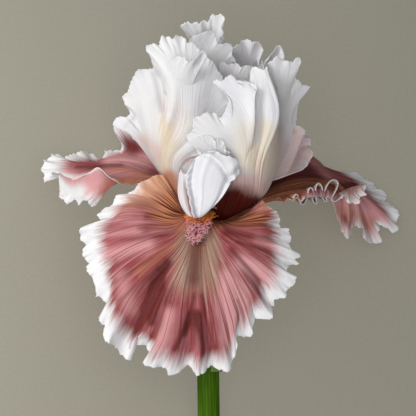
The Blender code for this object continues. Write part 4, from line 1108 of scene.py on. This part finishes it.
RIGHT_LIP = (
    ((-1.0, 22.0, 20.0), (5.0, 21.0, 22.5), (10.0, 20.0, 21.0)),
    ((-5.0, 26.0, 25.0), (2.0, 27.0, 26.3), (9.5, 23.5, 24.0)),
    ((-8.3, 28.5, 25.4), (-5.0, 31.0, 26.6), (1.0, 30.8, 27.0), (6.5, 28.5, 26.3),
     (9.6, 24.0, 24.6)),
)
# The left standard's inner fold under the arch, which the pink strokes colour as painted shade.
LEFT_FOLD = (
    ((-12.0, 4.0, 5.0), (-8.0, 4.0, 5.5), (-3.5, 4.0, 6.0)),
    ((-14.0, 12.0, 9.0), (-8.0, 12.0, 11.5), (-1.5, 12.0, 11.5)),
    ((-15.0, 19.0, 13.0), (-8.0, 20.0, 14.5), (0.5, 19.0, 14.5)),
    ((-14.0, 25.5, 15.2), (-6.0, 27.0, 16.2), (4.0, 23.5, 17.0)),
)
RIGHT_CLAW = (
    ((1.5, -7.0, 4.9), (4.0, -7.0, 4.0), (5.3, -7.0, 2.4)),
    ((0.5, -2.5, 7.2), (4.5, -2.2, 8.0), (9.5, -1.6, 7.6)),
    ((1.5, 4.5, 9.4), (5.5, 5.5, 12.0), (10.5, 7.0, 12.8)),
    ((4.5, 9.5, 12.5), (7.0, 11.0, 14.8), (11.0, 12.5, 15.4)),
)
# In the stroke tables below, the grey-lilac strokes are painted shade; the pink ones are partly
# the petal's own flush and partly painted shade where light comes through under folds; the dark
# red ones are painted shade in the throat's hollow over the claw's own dark red.
LEFT_STROKES = {
    "painted_shade": (((-20, 43), (-24, 59), 1.9, 0.6), ((-36, 36), (-33, 41), 1.6, 0.4),
             ((-25, 32), (-25, 46), 3.5, 0.3), ((-8, 40), (2, 56), 3.0, 0.3)),
    "cream": (((-19, 10), (-18, 36), 2.8, 0.75), ((-16, 28), (-24, 42), 4.0, 0.25),
              ((-14, 24), (-10, 40), 4.5, 0.35), ((-26, 30), (-20, 20), 4.0, 0.3)),
    "blush_and_shade": (((-28, 30), (-22, 26), 3.6, 0.6), ((-10, 21), (-4, 20), 3.5, 0.6),
              ((-22, 22), (-18, 15), 3.0, 0.4)),
    "salmon": (((-17, 14), (-14, 6), 3.6, 0.95),),
    "vein": (((-19, 12), (-17, 44), 6.5, 0.9), ((-14, 30), (-6, 44), 6.0, 0.35)),
}
RIGHT_STROKES = {
    "painted_shade": (((31, 24), (33, 48), 2.0, 0.2), ((29, 20), (30, 34), 3.5, 0.55),
             ((23.5, 15), (23, 27), 2.0, 0.4), ((22, 38), (24, 50), 1.6, 0.3)),
    "cream": (((24, 10), (25, 36), 4.5, 0.6), ((14, 20), (15, 34), 5.5, 0.5),
              ((20, 18), (20, 24), 4.0, 0.5), ((29, 18), (30, 32), 4.0, 0.4)),
    "salmon": (((11, 6), (21, 6), 4.5, 0.5),),
    "blush_and_shade": (((8, 8), (22, 9), 5.0, 0.9), ((12, 13), (18, 13), 3.0, 0.4),
              ((22, 15), (22, 24), 2.6, 0.4), ((30, 14), (32, 26), 5.0, 0.45),
              ((33, 30), (36, 44), 5.0, 0.25)),
    # Dark red strokes at the claw: painted shade in the throat's hollow over its own dark red.
    "maroon_and_shade": (((4, 2), (12, 3), 4.4, 1.0), ((4, -3), (18, -3), 5.5, 1.0),
               ((9, 8), (17, 8), 4.6, 0.5), ((14, 0), (21, 3), 3.0, 0.8)),
    "vein": (((20, 10), (20, 34), 7.0, 0.5),),
}
BACK_STROKES = {
    "painted_shade": (((38, 18), (42, 34), 6.0, 0.9), ((12, 66), (20, 70), 5.0, 0.35)),
    "blush_and_shade": (((34, 14), (42, 26), 8.0, 0.6), ((38, 34), (36, 44), 6.0, 0.3)),
    "vein": (((34, 14), (42, 30), 8.0, 0.6),),
}


# Sides are places across at the claw, half way and at the margin. A lift is the side it is on
# (-1 left, 1 right), its height, its width, and where it starts and is full.
def build_left_standard():
    """An outer part that spreads to the left, and an inner funnel that stands before it."""
    waves = Ruffle(20, 0.45, 7.0, 14)
    outer = standard_part(
        LEFT_STANDARD, -60.0, waves, LEFT_EDGE, ((0.0, 0.0, 0.0), (0.62, 0.53, 0.46)),
        lifts=((1, -0.7, 0.16, 0.0, 0.05), (1, -2.0, 0.3, 0.45, 0.8), (-1, -1.0, 0.3, 0.4, 0.9)),
        folds=((0.13, 0.09, -2.6, 0.016, 0.6, 0.95), (0.3, 0.28, 1.2, 0.07, 0.4, 0.9)),
        strokes=LEFT_STROKES)
    funnel = standard_part(
        LEFT_STANDARD, -60.0, waves, LEFT_EDGE, ((0.52, 0.455, 0.385), (1.0, 1.0, 1.0)),
        lifts=((-1, -0.7, 0.06, 0.0, 0.05), (-1, 3.2, 0.16, 0.48, 0.70)),
        folds=((0.80, 0.78, 1.8, 0.07, 0.3, 0.8),),
        strokes=LEFT_STROKES)
    lip, fold = (lobe_part(rows, 41, LEFT_STROKES) for rows in (LEFT_LIP, LEFT_FOLD))
    finish_standard("left", [outer, funnel, lip, fold], 2.0)


def build_right_standard():
    """Three parts: the lobes in front, one behind them, and the outer lobes behind that."""
    waves = Ruffle(17, 0.5, 8.0, 15)
    front = standard_part(
        RIGHT_STANDARD, 60.0, waves, RIGHT_EDGE, ((0.0, 0.0, 0.0), (0.36, 0.36, 0.59)),
        lifts=((1, -0.8, 0.12, 0.0, 0.05), (1, 4.2, 0.14, 0.5, 0.78)),
        folds=((0.16, 0.16, -1.2, 0.05, 0.4, 0.9),), strokes=RIGHT_STROKES)
    middle = standard_part(
        RIGHT_STANDARD, 60.0, waves, RIGHT_INNER_EDGE, ((0.26, 0.26, 0.53), (0.72, 0.66, 0.735)),
        lifts=((-1, -0.8, 0.12, 0.0, 0.05), (-1, -1.6, 0.3, 0.5, 0.8),
               (1, -0.8, 0.1, 0.0, 0.05), (1, 1.6, 0.3, 0.45, 0.85)),
        folds=((0.62, 0.66, -0.8, 0.014, 0.25, 0.5), (0.5, 0.56, 0.6, 0.03, 0.3, 0.6)),
        strokes=RIGHT_STROKES)
    outer = standard_part(
        RIGHT_STANDARD, 60.0, waves, RIGHT_OUTER_EDGE, ((0.64, 0.6, 0.64), (1.0, 1.0, 1.0)),
        lifts=((-1, -0.8, 0.12, 0.0, 0.05), (-1, -0.6, 0.3, 0.4, 0.8)),
        folds=(), strokes=RIGHT_STROKES)
    lip, claw = (lobe_part(rows, 43, RIGHT_STROKES) for rows in (RIGHT_LIP, RIGHT_CLAW))
    finish_standard("right", [front, middle, outer, lip, claw], 6.0)


def build_back_standard():
    """One broad part behind the others, and the lobe that folds over before its top."""
    back = standard_part(
        BACK_STANDARD, 180.0, Ruffle(20, 0.7, 8.0, 16), BACK_EDGE, WHOLE, lifts=(),
        folds=((0.42, 0.42, -1.5, 0.03, 0.4, 0.85), (0.6, 0.6, -1.5, 0.03, 0.4, 0.85)),
        strokes=BACK_STROKES)
    lips = [lobe_part(rows, 45, BACK_STROKES) for rows in (BACK_LIP, BACK_INNER_LIP)]
    finish_standard("back", [back, *lips], 8.0)


build_left_standard()
build_right_standard()
build_back_standard()


# Style arms: three small white petals, firm and pearly, each arching over a beard. Each has a
# narrow lobe, a broad one that overlaps it, and a folded crest, and stands on the tube's rim.
FRONT_STYLE = (
    ((-5.5, -1.0, 8.5), (-0.8, 1.6, 9.5), (4.0, -0.6, 8.5)),
    ((-8.2, -1.6, 17.0), (-3.4, 1.0, 17.5), (1.0, -0.4, 17.0)),
    ((-9.3, -2.4, 21.5), (-7.8, -3.5, 23.2), (-5.2, -4.1, 24.2), (-2.6, -3.4, 24.0),
     (-0.4, -1.8, 23.0)),
    ((-12.6, 3.5, 21.0), (-10.5, 5.5, 22.4), (-6.8, 5.5, 23.2), (0, 5.5, 24.0),
     (6.4, 5.0, 23.4)),
    ((-13.2, 8.5, 19.5), (-10.8, 10.5, 20.6), (-7.6, 11.5, 22.5), (1, 13, 24.5),
     (9.8, 10.6, 23.2)),
    ((-12.8, 12, 18.0), (-12.0, 17.0, 16.5), (-10.4, 14.5, 19.2), (-8.6, 16.5, 21.6),
     (-6.0, 21.0, 24.0), (-0.5, 24.3, 25.5), (7.5, 23.6, 26.0), (13.0, 20.0, 25.5),
     (13.8, 15.0, 24.0)),
)
STYLE_ROOT = 2.0
REAR_STYLE_REACH = 0.55
REAR_STYLE_RISE = 0.6
REAR_STYLE_WIDTH = 0.9
STYLE_RIM_RADIUS = 2.4
STYLE_ROOT_HEIGHT = -7.6
STYLE_ROOT_ANGLE = 38.0
STYLE_GRID = (70, 150)
STYLE_SCALLOP = 0.035
STYLE_THICKNESS = (0.7, 0.35)
STYLE_WHITE = (0.82, 0.82, 0.84)
STYLE_SHADE = (0.72, 0.72, 0.76)
# Pink at the style arm's foot, which also paints shade in the gap beside the broad lobe.
STYLE_PINK_AND_SHADE = (0.62, 0.34, 0.34)
# The two lobes: the sides of each across the petal, its edge lifts and its folds
NARROW_LOBE = (((0.0, 0.0, 0.0), (0.5, 0.50, 0.42)), ((1, -3.0, 0.4, 0.42, 0.62),), ())
BROAD_LOBE = (
    ((0.3, 0.40, 0.35), (1.0, 1.0, 1.0)), ((-1, 2.6, 0.16, 0.4, 0.55), (1, -0.2, 0.14, 0.5, 0.7)),
    ((3.1, 0.60, 2.3, 0.045, 0.80, 0.88), (3.35, 0.76, -1.5, 0.09, 0.80, 0.88),
     (0.95, 0.95, 0.8, 0.035, 0.45, 0.6), (0.52, 0.50, 0.5, 0.03, 0.5, 0.8),
     (0.64, 0.66, -0.5, 0.03, 0.5, 0.8)),
)


def rear_style(azimuth_deg, side):
    """Rows of a style arm over a rear fall: the front arm, shorter and more upright, turned.

    Its distance from the axis shrinks and its height grows with that distance.
    """
    angle = math.radians(azimuth_deg)
    rows = []
    for row in FRONT_STYLE:
        points = np.array(row, float)
        out = STYLE_ROOT + (points[:, 2] - STYLE_ROOT) * REAR_STYLE_REACH
        up = points[:, 1] + REAR_STYLE_RISE * (points[:, 2] - STYLE_ROOT)
        across = points[:, 0] * side * REAR_STYLE_WIDTH
        x = out * math.sin(angle) + across * math.cos(angle)
        z = out * math.cos(angle) - across * math.sin(angle)
        rows.append(np.stack([x, up, z], axis=1))
    return rows


def style_finish():
    """Firm white flesh with a pearly look, faint ribs, pink at the foot, and pink painted shade
    in the gap beside the broad lobe.
    """
    skin = Finish("style_white", 0.55, specular=0.15)
    rib = skin.noise(skin.surface_uv(40.0, 1.6), 3.0, 0.55)
    fine = skin.noise(skin.surface_uv(160.0, 6.0, 3.0), 3.0, 0.6)
    colour = skin.mix(skin.ramp(rib, 0.4, 0.7, 0.0, 0.4), STYLE_WHITE, STYLE_SHADE)
    colour = skin.mix(skin.trait("blush_and_shade"), colour, STYLE_PINK_AND_SHADE)
    return skin.finish(colour, skin.bump(fine, 0.07, skin.bump(rib, 0.16)), through=0.18)


def build_style(side, azimuth_deg, rows, finish):
    """One style arm: a narrow lobe and a broad one that overlaps it, with a folded crest.

    Both are pink at the foot. The narrow lobe also takes pink painted shade near its right
    side, where the broad lobe shades it, and the broad lobe's left side is scalloped.
    """
    base = rim_row(azimuth_deg, STYLE_ROOT_ANGLE, STYLE_RIM_RADIUS, STYLE_ROOT_HEIGHT, rows[0])
    along = petal_steps(STYLE_GRID[0], LOBE_CROWDING)
    shells = []
    for lobe in (NARROW_LOBE, BROAD_LOBE):
        sides, lifts, folds = lobe
        columns = int(STYLE_GRID[1] * (sides[1][-1] - sides[0][-1]))
        scallop = STYLE_SCALLOP if lobe is BROAD_LOBE else 0.0
        sheet = Sheet(base, rows, along, part_across(along, sides, columns, scallop))
        sheet.fold(folds)
        for lift in lifts:
            sheet.lift_edge(*lift)
        sheet.ruffle(Ruffle(5, 0.3, 4.0, 21), sway=0.2, crimp=0.16, nick=0.3)
        blush_and_shade = smoothstep(sheet.along, 0.45, 0.15)
        if lobe is NARROW_LOBE:
            # Painted shade: a pink strip along the narrow lobe's right side, where the broad lobe
            # shades it.
            gap = smoothstep(sheet.across, 0.30, 0.36) * smoothstep(sheet.across, 0.55, 0.5)
            gap = gap * smoothstep(sheet.along, 0.8, 0.7)
            blush_and_shade = np.maximum(np.maximum(blush_and_shade, gap), 0.3 * smoothstep(sheet.across, 0.3, 0.1))
        shells.append(sheet.shell(STYLE_THICKNESS, {"blush_and_shade": blush_and_shade}))
    piece = petal_piece("style_" + side + "_arm", shells, finish)
    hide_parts("style_" + side)


style_white = style_finish()
build_style("front", 0.0, FRONT_STYLE, style_white)
build_style("left", -120.0, rear_style(-120.0, -1.0), style_white)
build_style("right", 120.0, rear_style(120.0, 1.0), style_white)


# Beards: a furry strip down the middle of each fall, of short curled hairs, orange at the
# throat and lavender-pink further out. They grow from a low rust-red ridge of the fall's flesh.
BEARD_SEAT = 0.78
PAD_SINK = 0.25
RIDGE_HEIGHT = 0.9
RIDGE_GRID = (60, 13)
SEAT_COLUMNS = 81
HAIR_SIDES = 4
HAIR_RINGS = 7
HAIR_THICK = 0.17
HAIR_SCATTER = 0.12
HAIR_ORANGE = (1.0, 0.34, 0.015)
HAIR_RUST = (0.74, 0.10, 0.03)
HAIR_PINK = (0.66, 0.12, 0.15)
HAIR_TIP = (0.98, 0.64, 0.68)
PAD_RUST = (0.46, 0.11, 0.10)


def beard_finish(name):
    """Matt hairs: orange at the throat, rust, then lavender-pink with pale tips."""
    skin = Finish(name, 0.7, specular=0.1)
    tint = skin.noise(skin.place(900.0), 1.0)
    place = skin.math("ADD", skin.trait("down"), skin.math("MULTIPLY", tint, 0.25))
    colour = skin.mix(skin.ramp(place, 0.57, 0.72), HAIR_ORANGE, HAIR_RUST)
    colour = skin.mix(skin.ramp(place, 0.66, 0.84), colour, HAIR_PINK)
    pale = skin.math("MULTIPLY", skin.trait("tip"), skin.ramp(place, 0.55, 0.8, 0.15, 1.0))
    colour = skin.mix(pale, colour, HAIR_TIP)
    colour = skin.mix(skin.math("MULTIPLY", skin.trait("pad"), 0.85), colour, PAD_RUST)
    return skin.finish(colour, through=0.12)


def hair_bundle(roots, upright, forward, aside, length, seed):
    """Curled hairs as thin tapered tubes.

    A hair's middle line at share s is root + length * (0.85 * sin(1.9 * s) * upright
    + curl * s^2 * a fixed level direction + hook * (1 - cos(pi * s)) / 2 * forward). Its rings
    are polygons whose radius falls to a third.
    """
    draw = np.random.default_rng(seed)
    count = len(roots)
    share = np.linspace(0.0, 1.0, HAIR_RINGS)[None, :, None]
    turn = draw.uniform(0.0, 2.0 * math.pi, count)[:, None]
    level = np.cos(turn) * forward + np.sin(turn) * aside
    reach = (length * draw.uniform(0.65, 1.25, count))[:, None, None]
    curl = draw.uniform(0.2, 0.9, count)[:, None, None]
    hook = draw.uniform(0.1, 0.5, count)[:, None, None]
    line = roots[:, None] + reach * (upright[:, None] * np.sin(share * 1.9) * 0.85
                                     + curl * share ** 2 * level[:, None]
                                     + hook * (1.0 - np.cos(math.pi * share)) * 0.5
                                     * forward[:, None])
    tangent = np.gradient(line, axis=1)
    tangent /= np.linalg.norm(tangent, axis=2, keepdims=True)
    first = np.cross(tangent, np.broadcast_to(aside[:, None] + 0.3 * upright[:, None],
                                              tangent.shape))
    first /= np.linalg.norm(first, axis=2, keepdims=True)
    second = np.cross(tangent, first)
    angle = np.linspace(0.0, 2.0 * math.pi, HAIR_SIDES, endpoint=False)
    radius = HAIR_THICK * (1.0 - 0.67 * share)[..., None]
    ring = (first[:, :, None] * np.cos(angle)[None, None, :, None]
            + second[:, :, None] * np.sin(angle)[None, None, :, None])
    points = line[:, :, None] + ring * radius
    number = np.arange(count * HAIR_RINGS * HAIR_SIDES).reshape(count, HAIR_RINGS, HAIR_SIDES)
    after = np.roll(number, -1, axis=2)
    walls = np.stack([number[:, :-1], after[:, :-1], after[:, 1:], number[:, 1:]], axis=3)
    caps = np.concatenate([number[:, 0, ::-1], number[:, -1]])
    tips = np.broadcast_to(share[..., None], points.shape[:3] + (1,))
    return points.reshape(-1, 3), np.concatenate([walls.reshape(-1, 4), caps]), tips.ravel()


def build_beard(side, azimuth_deg, rows, span, half_width, upward, hairs, length, seed):
    """A low ridge on the fall's midline and the hairs that stand on it.

    The ridge is crown * (1 - across^2) high and tapers to its outer end. `span` is where along
    the fall it runs, and `upward` is -1 where the fall's normal has to be turned over.
    """
    base = rim_row(azimuth_deg, CLAW_HALF_ANGLE, RIM_RADIUS, RIM_HEIGHT, rows[0])
    draw = np.random.default_rng(seed)
    ridge_rows, ridge_columns = RIDGE_GRID
    centre = (SEAT_COLUMNS - 1) // 2
    sheet = Sheet(base, rows, np.linspace(*span, ridge_rows), np.linspace(0.3, 0.7, SEAT_COLUMNS))
    outward, sideways, normal = sheet.directions()
    normal = normal * upward
    seat = sheet.points
    step = np.linalg.norm(seat[:, centre + 1] - seat[:, centre - 1], axis=1) / 2.0
    share = np.linspace(0.0, 1.0, ridge_rows)
    taper = np.sqrt(np.clip(1.0 - share ** 4, 0.03, 1.0)) * (1.0 - 0.35 * share)
    spread = half_width * taper / step
    across = np.linspace(-1.0, 1.0, ridge_columns)
    columns = np.clip(centre + spread[:, None] * across[None, :], 0.0, SEAT_COLUMNS - 1.0)
    low = np.floor(columns).astype(int).clip(0, SEAT_COLUMNS - 2)
    part = (columns - low)[..., None]
    row = np.arange(ridge_rows)[:, None]
    surface = seat[row, low] * (1.0 - part) + seat[row, low + 1] * part
    crown = RIDGE_HEIGHT * (1.0 - across ** 2)[None, :, None] * taper[:, None, None]
    top = surface + normal[row, low] * (BEARD_SEAT + crown)
    bottom = surface + normal[row, low] * (BEARD_SEAT - PAD_SINK)
    pad_points = np.concatenate([top.reshape(-1, 3), bottom.reshape(-1, 3)])
    pad_faces = shell_faces(ridge_rows, ridge_columns)
    if upward < 0.0:
        pad_faces = pad_faces[:, ::-1]
    pick_row = draw.integers(0, ridge_rows, hairs)
    pick_across = draw.uniform(-0.95, 0.95, hairs)
    column = np.rint((pick_across + 1.0) * (ridge_columns - 1) / 2.0).astype(int)
    roots = top[pick_row, column] + draw.normal(0.0, HAIR_SCATTER, (hairs, 3))
    under = (pick_row, low[pick_row, column])
    forward, aside = outward[under], sideways[under]
    upright = normal[under] + 0.8 * pick_across[:, None] * aside + 0.35 * forward
    upright /= np.linalg.norm(upright, axis=1, keepdims=True)
    hair_points, hair_faces, tips = hair_bundle(roots, upright, forward, aside, length, seed + 1)
    faces = np.concatenate([pad_faces, hair_faces + len(pad_points)])
    down = np.concatenate([np.tile(np.repeat(share, ridge_columns), 2),
                           np.repeat(share[pick_row], HAIR_RINGS * HAIR_SIDES)])
    tip = np.concatenate([np.zeros(len(pad_points)), tips])
    pad = np.concatenate([np.ones(len(pad_points)), np.zeros(len(tips))])
    piece = mesh_piece("beard_" + side + "_hairs", np.concatenate([pad_points, hair_points]),
                       faces.tolist(), np.stack([down, tip], axis=1),
                       {"down": down, "tip": tip, "pad": pad})
    piece.data.materials.append(beard_finish("beard_" + side + "_rust"))
    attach(piece, "root")
    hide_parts("beard_" + side)


build_beard("front", 0.0, FRONT_FALL, (0.1, 0.325), 4.6, 1.0, 640, 3.0, 31)
build_beard("left", -120.0, LEFT_FALL, (0.14, 0.32), 3.0, -1.0, 380, 2.0, 33)
build_beard("right", 120.0, RIGHT_FALL, (0.14, 0.32), 3.0, -1.0, 380, 2.0, 35)


# Stamens: a flat, smooth cream filament under each style arm, which carries one long anther
# of mealy yellow. It stands on the rim of the tube, between the fall and the style arm.
FILAMENT_CREAM = (0.80, 0.70, 0.52)
ANTHER_CREAM = (0.86, 0.74, 0.42)
MEAL_YELLOW = (0.70, 0.52, 0.22)
STAMEN_RINGS = 48
STAMEN_SIDES = 20
GROOVE_DEPTH = 0.35
GROOVE_WIDTH = 0.35
# Distance from the axis, height, place aside, half width and half depth
FRONT_STAMEN = np.array([
    (3.9, -7.3, 0.0, 0.8, 0.5), (6.0, -3.8, -0.4, 0.8, 0.5), (9.0, -1.7, -1.0, 0.9, 0.5),
    (10.0, -1.3, -1.2, 1.6, 0.8), (13.5, -1.0, -1.9, 1.7, 0.8), (16.5, -0.9, -2.5, 1.1, 0.5),
])
REAR_STAMEN = np.array([
    (3.9, -7.3, 0.0, 0.8, 0.5), (4.9, -3.0, 0.0, 0.8, 0.5), (7.0, 0.8, 0.0, 0.9, 0.5),
    (7.7, 1.3, 0.0, 1.5, 0.8), (9.7, 4.7, 0.0, 1.6, 0.8), (11.5, 7.8, 0.0, 1.0, 0.6),
])


def stamen_finish():
    """Cream filament and a mealy, yellow-cream anther."""
    skin = Finish("stamen_cream", 0.7, specular=0.25)
    meal = skin.noise(skin.place(2200.0), 2.0)
    colour = skin.mix(skin.trait("anther"), FILAMENT_CREAM, ANTHER_CREAM)
    colour = skin.mix(skin.ramp(meal, 0.5, 0.7, 0.0, 0.35), colour, MEAL_YELLOW)
    return skin.finish(colour, skin.bump(meal, 0.1))


def build_stamen(side, azimuth_deg, path, finish):
    """Oval rings along the path, (half width * cos, half depth * sin)(turn), closed at the ends.

    The anther has a groove down both faces, a bell of cos(turn).
    """
    share = np.linspace(0.0, 1.0, STAMEN_RINGS)
    places = np.linspace(0.0, 1.0, len(path))
    out, up, aside, half_width, half_depth = (np.interp(share, places, column)[:, None]
                                              for column in path.T)
    close = np.sqrt(np.clip(1.0 - ((share - 0.5) * 2.0) ** 12, 0.02, 1.0))[:, None]
    turn = np.linspace(0.0, 2.0 * math.pi, STAMEN_SIDES, endpoint=False)
    anther = smoothstep(share, 0.5, 0.58)
    groove = 1.0 - GROOVE_DEPTH * anther[:, None] * np.exp(-(np.cos(turn) / GROOVE_WIDTH) ** 2)
    across = aside + half_width * close * np.cos(turn)
    height = up + half_depth * close * np.sin(turn) * groove
    angle = math.radians(azimuth_deg)
    points = np.stack([out * math.sin(angle) + across * math.cos(angle), height,
                       out * math.cos(angle) - across * math.sin(angle)], axis=2)
    number = np.arange(STAMEN_RINGS * STAMEN_SIDES).reshape(STAMEN_RINGS, -1)
    faces = tube_grid(STAMEN_RINGS, STAMEN_SIDES)[:, ::-1].tolist()
    faces += [number[0].tolist(), number[-1, ::-1].tolist()]
    uv = np.stack([np.tile(turn / (2.0 * math.pi), STAMEN_RINGS),
                   np.repeat(share, STAMEN_SIDES)], axis=1)
    piece = mesh_piece("stamen_" + side + "_bar", points.reshape(-1, 3), faces, uv,
                       {"anther": np.repeat(anther, STAMEN_SIDES)})
    piece.data.materials.append(finish)
    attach(piece, "root")
    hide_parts("stamen_" + side)


stamen_cream = stamen_finish()
build_stamen("front", 0.0, FRONT_STAMEN, stamen_cream)
build_stamen("left", -120.0, REAR_STAMEN, stamen_cream)
build_stamen("right", 120.0, REAR_STAMEN, stamen_cream)


# Bracts: two boat-shaped leaves that wrap the ovary and the stem below it, papery and green
# with dry tan tips. Each grows from the stem at its foot and has a low keel down its back.
BRACT_GRID = (70, 61)
BRACT_KEEL = 0.03
BRACT_KEEL_WIDTH = 0.12
BRACT_THICKNESS = (0.7, 0.35)
BRACT_THINS_OVER = 8.0
BRACT_DARK = (0.17, 0.30, 0.05)
BRACT_GREEN = (0.30, 0.43, 0.11)
BRACT_DRY = (0.52, 0.42, 0.26)
# Name, azimuth, and from the foot up: height, radius and half angle round the stem
BRACTS = (
    ("bract_outer", 96.0, ((-72.0, 5.7, 84.0), (-64.0, 6.2, 84.0), (-54.0, 7.6, 82.0),
                           (-44.0, 8.2, 78.0), (-34.0, 7.9, 66.0), (-26.0, 8.0, 44.0),
                           (-19.0, 8.6, 16.0), (-15.0, 9.2, 3.0))),
    ("bract_inner", -84.0, ((-67.0, 5.7, 84.0), (-60.0, 6.4, 84.0), (-52.0, 7.6, 82.0),
                            (-43.0, 8.0, 76.0), (-34.0, 7.7, 62.0), (-28.0, 7.8, 42.0),
                            (-22.0, 8.3, 16.0), (-18.0, 8.8, 3.0))),
)


def bract_finish():
    """Dry papery green with lengthwise ribs, turning tan and thin towards the tip."""
    skin = Finish("bract_green", 0.6, specular=0.3)
    rib = skin.noise(skin.surface_uv(34.0, 1.2), 3.0)
    patch = skin.noise(skin.surface_uv(5.0, 4.0, 2.0), 3.0)
    colour = skin.mix(skin.ramp(rib, 0.35, 0.7), BRACT_DARK, BRACT_GREEN)
    dry = skin.math("ADD", skin.trait("dry"), skin.centred(patch, 0.8))
    colour = skin.mix(skin.ramp(dry, 0.35, 0.75), colour, BRACT_DRY)
    return skin.finish(colour, skin.bump(rib, 0.3), through=0.15)


def build_bract(name, azimuth_deg, sections, finish):
    """Sections round the axis at each height: radius * (sin, cos)(azimuth + half angle * side)."""
    table = np.array(sections)
    along = np.linspace(0.0, 1.0, BRACT_GRID[0])
    weights = spline_weights(np.linspace(0.0, 1.0, len(table)), along)
    up, radius, half_angle = (weights @ table).T[:, :, None]
    side = np.linspace(-1.0, 1.0, BRACT_GRID[1])
    angle = np.radians(azimuth_deg + half_angle * side)
    keeled = radius * (1.0 + BRACT_KEEL * np.exp(-(side / BRACT_KEEL_WIDTH) ** 2))
    points = np.stack([keeled * np.sin(angle), np.broadcast_to(up, angle.shape),
                       keeled * np.cos(angle)], axis=2)
    leaf = Leaf(points, along, np.broadcast_to((side + 1.0) / 2.0, angle.shape),
                np.broadcast_to(BRACT_THINS_OVER * (1.0 - np.abs(side)), angle.shape))
    dry = {"dry": smoothstep(leaf.along, 0.5, 0.95)}
    piece = petal_piece(name + "_leaf", [leaf.shell(BRACT_THICKNESS, dry)], finish)
    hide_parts(name)


bract_green = bract_finish()
for bract_name, bract_azimuth, bract_sections in BRACTS:
    build_bract(bract_name, bract_azimuth, bract_sections, bract_green)


# Studio: a pale warm grey floor of matt paper under the flower. A soft key light from the upper
# left and a wide fill light fall on the flower alone, and two more lights on the floor alone.
# The camera looks straight down the front fall's axis through a long lens.
FLOOR_HALF = 6.0
PAPER_DARK = (0.335, 0.320, 0.265)
PAPER_LIGHT = (0.348, 0.333, 0.277)
WARM_LIGHT = (1.0, 0.99, 0.96)
ROOM_LIGHT = (0.96, 0.97, 1.0, 1.0)
ROOM_STRENGTH = 0.27
LIT_POINT = (0.0, 10.0, 0.0)
CAMERA_AWAY = 4000.0
SENSOR_MM = 36.0
FRAME_MM = 183.04


def flower_direction(x, y, z):
    """A direction in the flower's axes as a unit vector in the world."""
    way = to_world([x, y, z]) - to_world([0.0, 0.0, 0.0])
    return way / np.linalg.norm(way)


def aim(item, place, target):
    """Puts an object at a place, its -Z towards the target and its +Y up the flower's stem."""
    back = (place - target) / np.linalg.norm(place - target)
    right = np.cross(flower_direction(0.0, 1.0, 0.0), back)
    right /= np.linalg.norm(right)
    axes = np.stack([right, np.cross(back, right), back], axis=1)
    rows = [[*axes[k], place[k]] for k in range(3)]
    item.matrix_world = Matrix([*rows, [0.0, 0.0, 0.0, 1.0]])


def build_floor():
    """A large flat floor of fine matt paper."""
    corners = [(-FLOOR_HALF, -FLOOR_HALF, 0.0), (FLOOR_HALF, -FLOOR_HALF, 0.0),
               (FLOOR_HALF, FLOOR_HALF, 0.0), (-FLOOR_HALF, FLOOR_HALF, 0.0)]
    mesh = bpy.data.meshes.new("floor")
    mesh.from_pydata(corners, [], [(0, 1, 2, 3)])
    piece = bpy.data.objects.new("floor", mesh)
    bpy.context.scene.collection.objects.link(piece)
    paper = Finish("floor_paper", 0.9, specular=0.1)
    grain = paper.noise(paper.place(700.0), 3.0)
    colour = paper.mix(paper.ramp(grain, 0.3, 0.7), PAPER_DARK, PAPER_LIGHT)
    mesh.materials.append(paper.finish(colour))
    return piece


def group_of(name, pieces):
    """A collection of objects for a light to fall on, or to be stopped by."""
    group = bpy.data.collections.new(name)
    for piece in pieces:
        group.objects.link(piece)
    return group


def build_light(name, direction, away, size, watts, colour, lit, shading=None):
    """A square soft light that looks at the flower from a direction in the flower's axes.

    The light falls on the objects in `lit` alone. With `shading`, only those cast shadows in it.
    """
    lamp = bpy.data.lights.new(name, "AREA")
    lamp.shape = "SQUARE"
    lamp.size = size
    lamp.energy = watts
    lamp.color = colour
    item = bpy.data.objects.new(name, lamp)
    bpy.context.scene.collection.objects.link(item)
    item.light_linking.receiver_collection = group_of(name + "_lit", lit)
    if shading is not None:
        item.light_linking.blocker_collection = group_of(name + "_shading", shading)
    target = to_world(LIT_POINT)
    aim(item, target + flower_direction(*direction) * away, target)


def build_camera():
    """A long lens straight down the front fall's axis, level with the stem in the picture."""
    data = bpy.data.cameras.new("camera")
    data.sensor_width = SENSOR_MM
    data.lens = SENSOR_MM * CAMERA_AWAY / FRAME_MM
    data.clip_end = 20.0
    item = bpy.data.objects.new("camera", data)
    bpy.context.scene.collection.objects.link(item)
    aim(item, to_world([0.0, 0.0, CAMERA_AWAY]), to_world([0.0, 0.0, 0.0]))
    bpy.context.scene.camera = item


floor = build_floor()
petals_and_stem = [item for item in bpy.context.scene.objects
                   if item.type == "MESH" and item is not floor]
build_light("key_light", (-0.66, 0.5, 0.68), 0.9, 0.3, 5.9, (1.0, 0.985, 0.96), petals_and_stem)
build_light("fill_light", (-0.1, -0.2, 0.97), 1.6, 1.2, 14.5, (0.98, 0.98, 1.0), petals_and_stem)
build_light("floor_light", (-0.85, 0.1, 0.5), 0.62, 0.5, 4.8, WARM_LIGHT, [floor], [floor])
build_light("floor_soft", (0.0, 0.0, 1.0), 1.6, 1.0, 4.6, WARM_LIGHT, [floor])
build_camera()
world = bpy.data.worlds.new("studio")
world.use_nodes = True
background = world.node_tree.nodes["Background"]
background.inputs["Color"].default_value = ROOM_LIGHT
background.inputs["Strength"].default_value = ROOM_STRENGTH
bpy.context.scene.world = world
bpy.context.scene.view_settings.view_transform = "Standard"
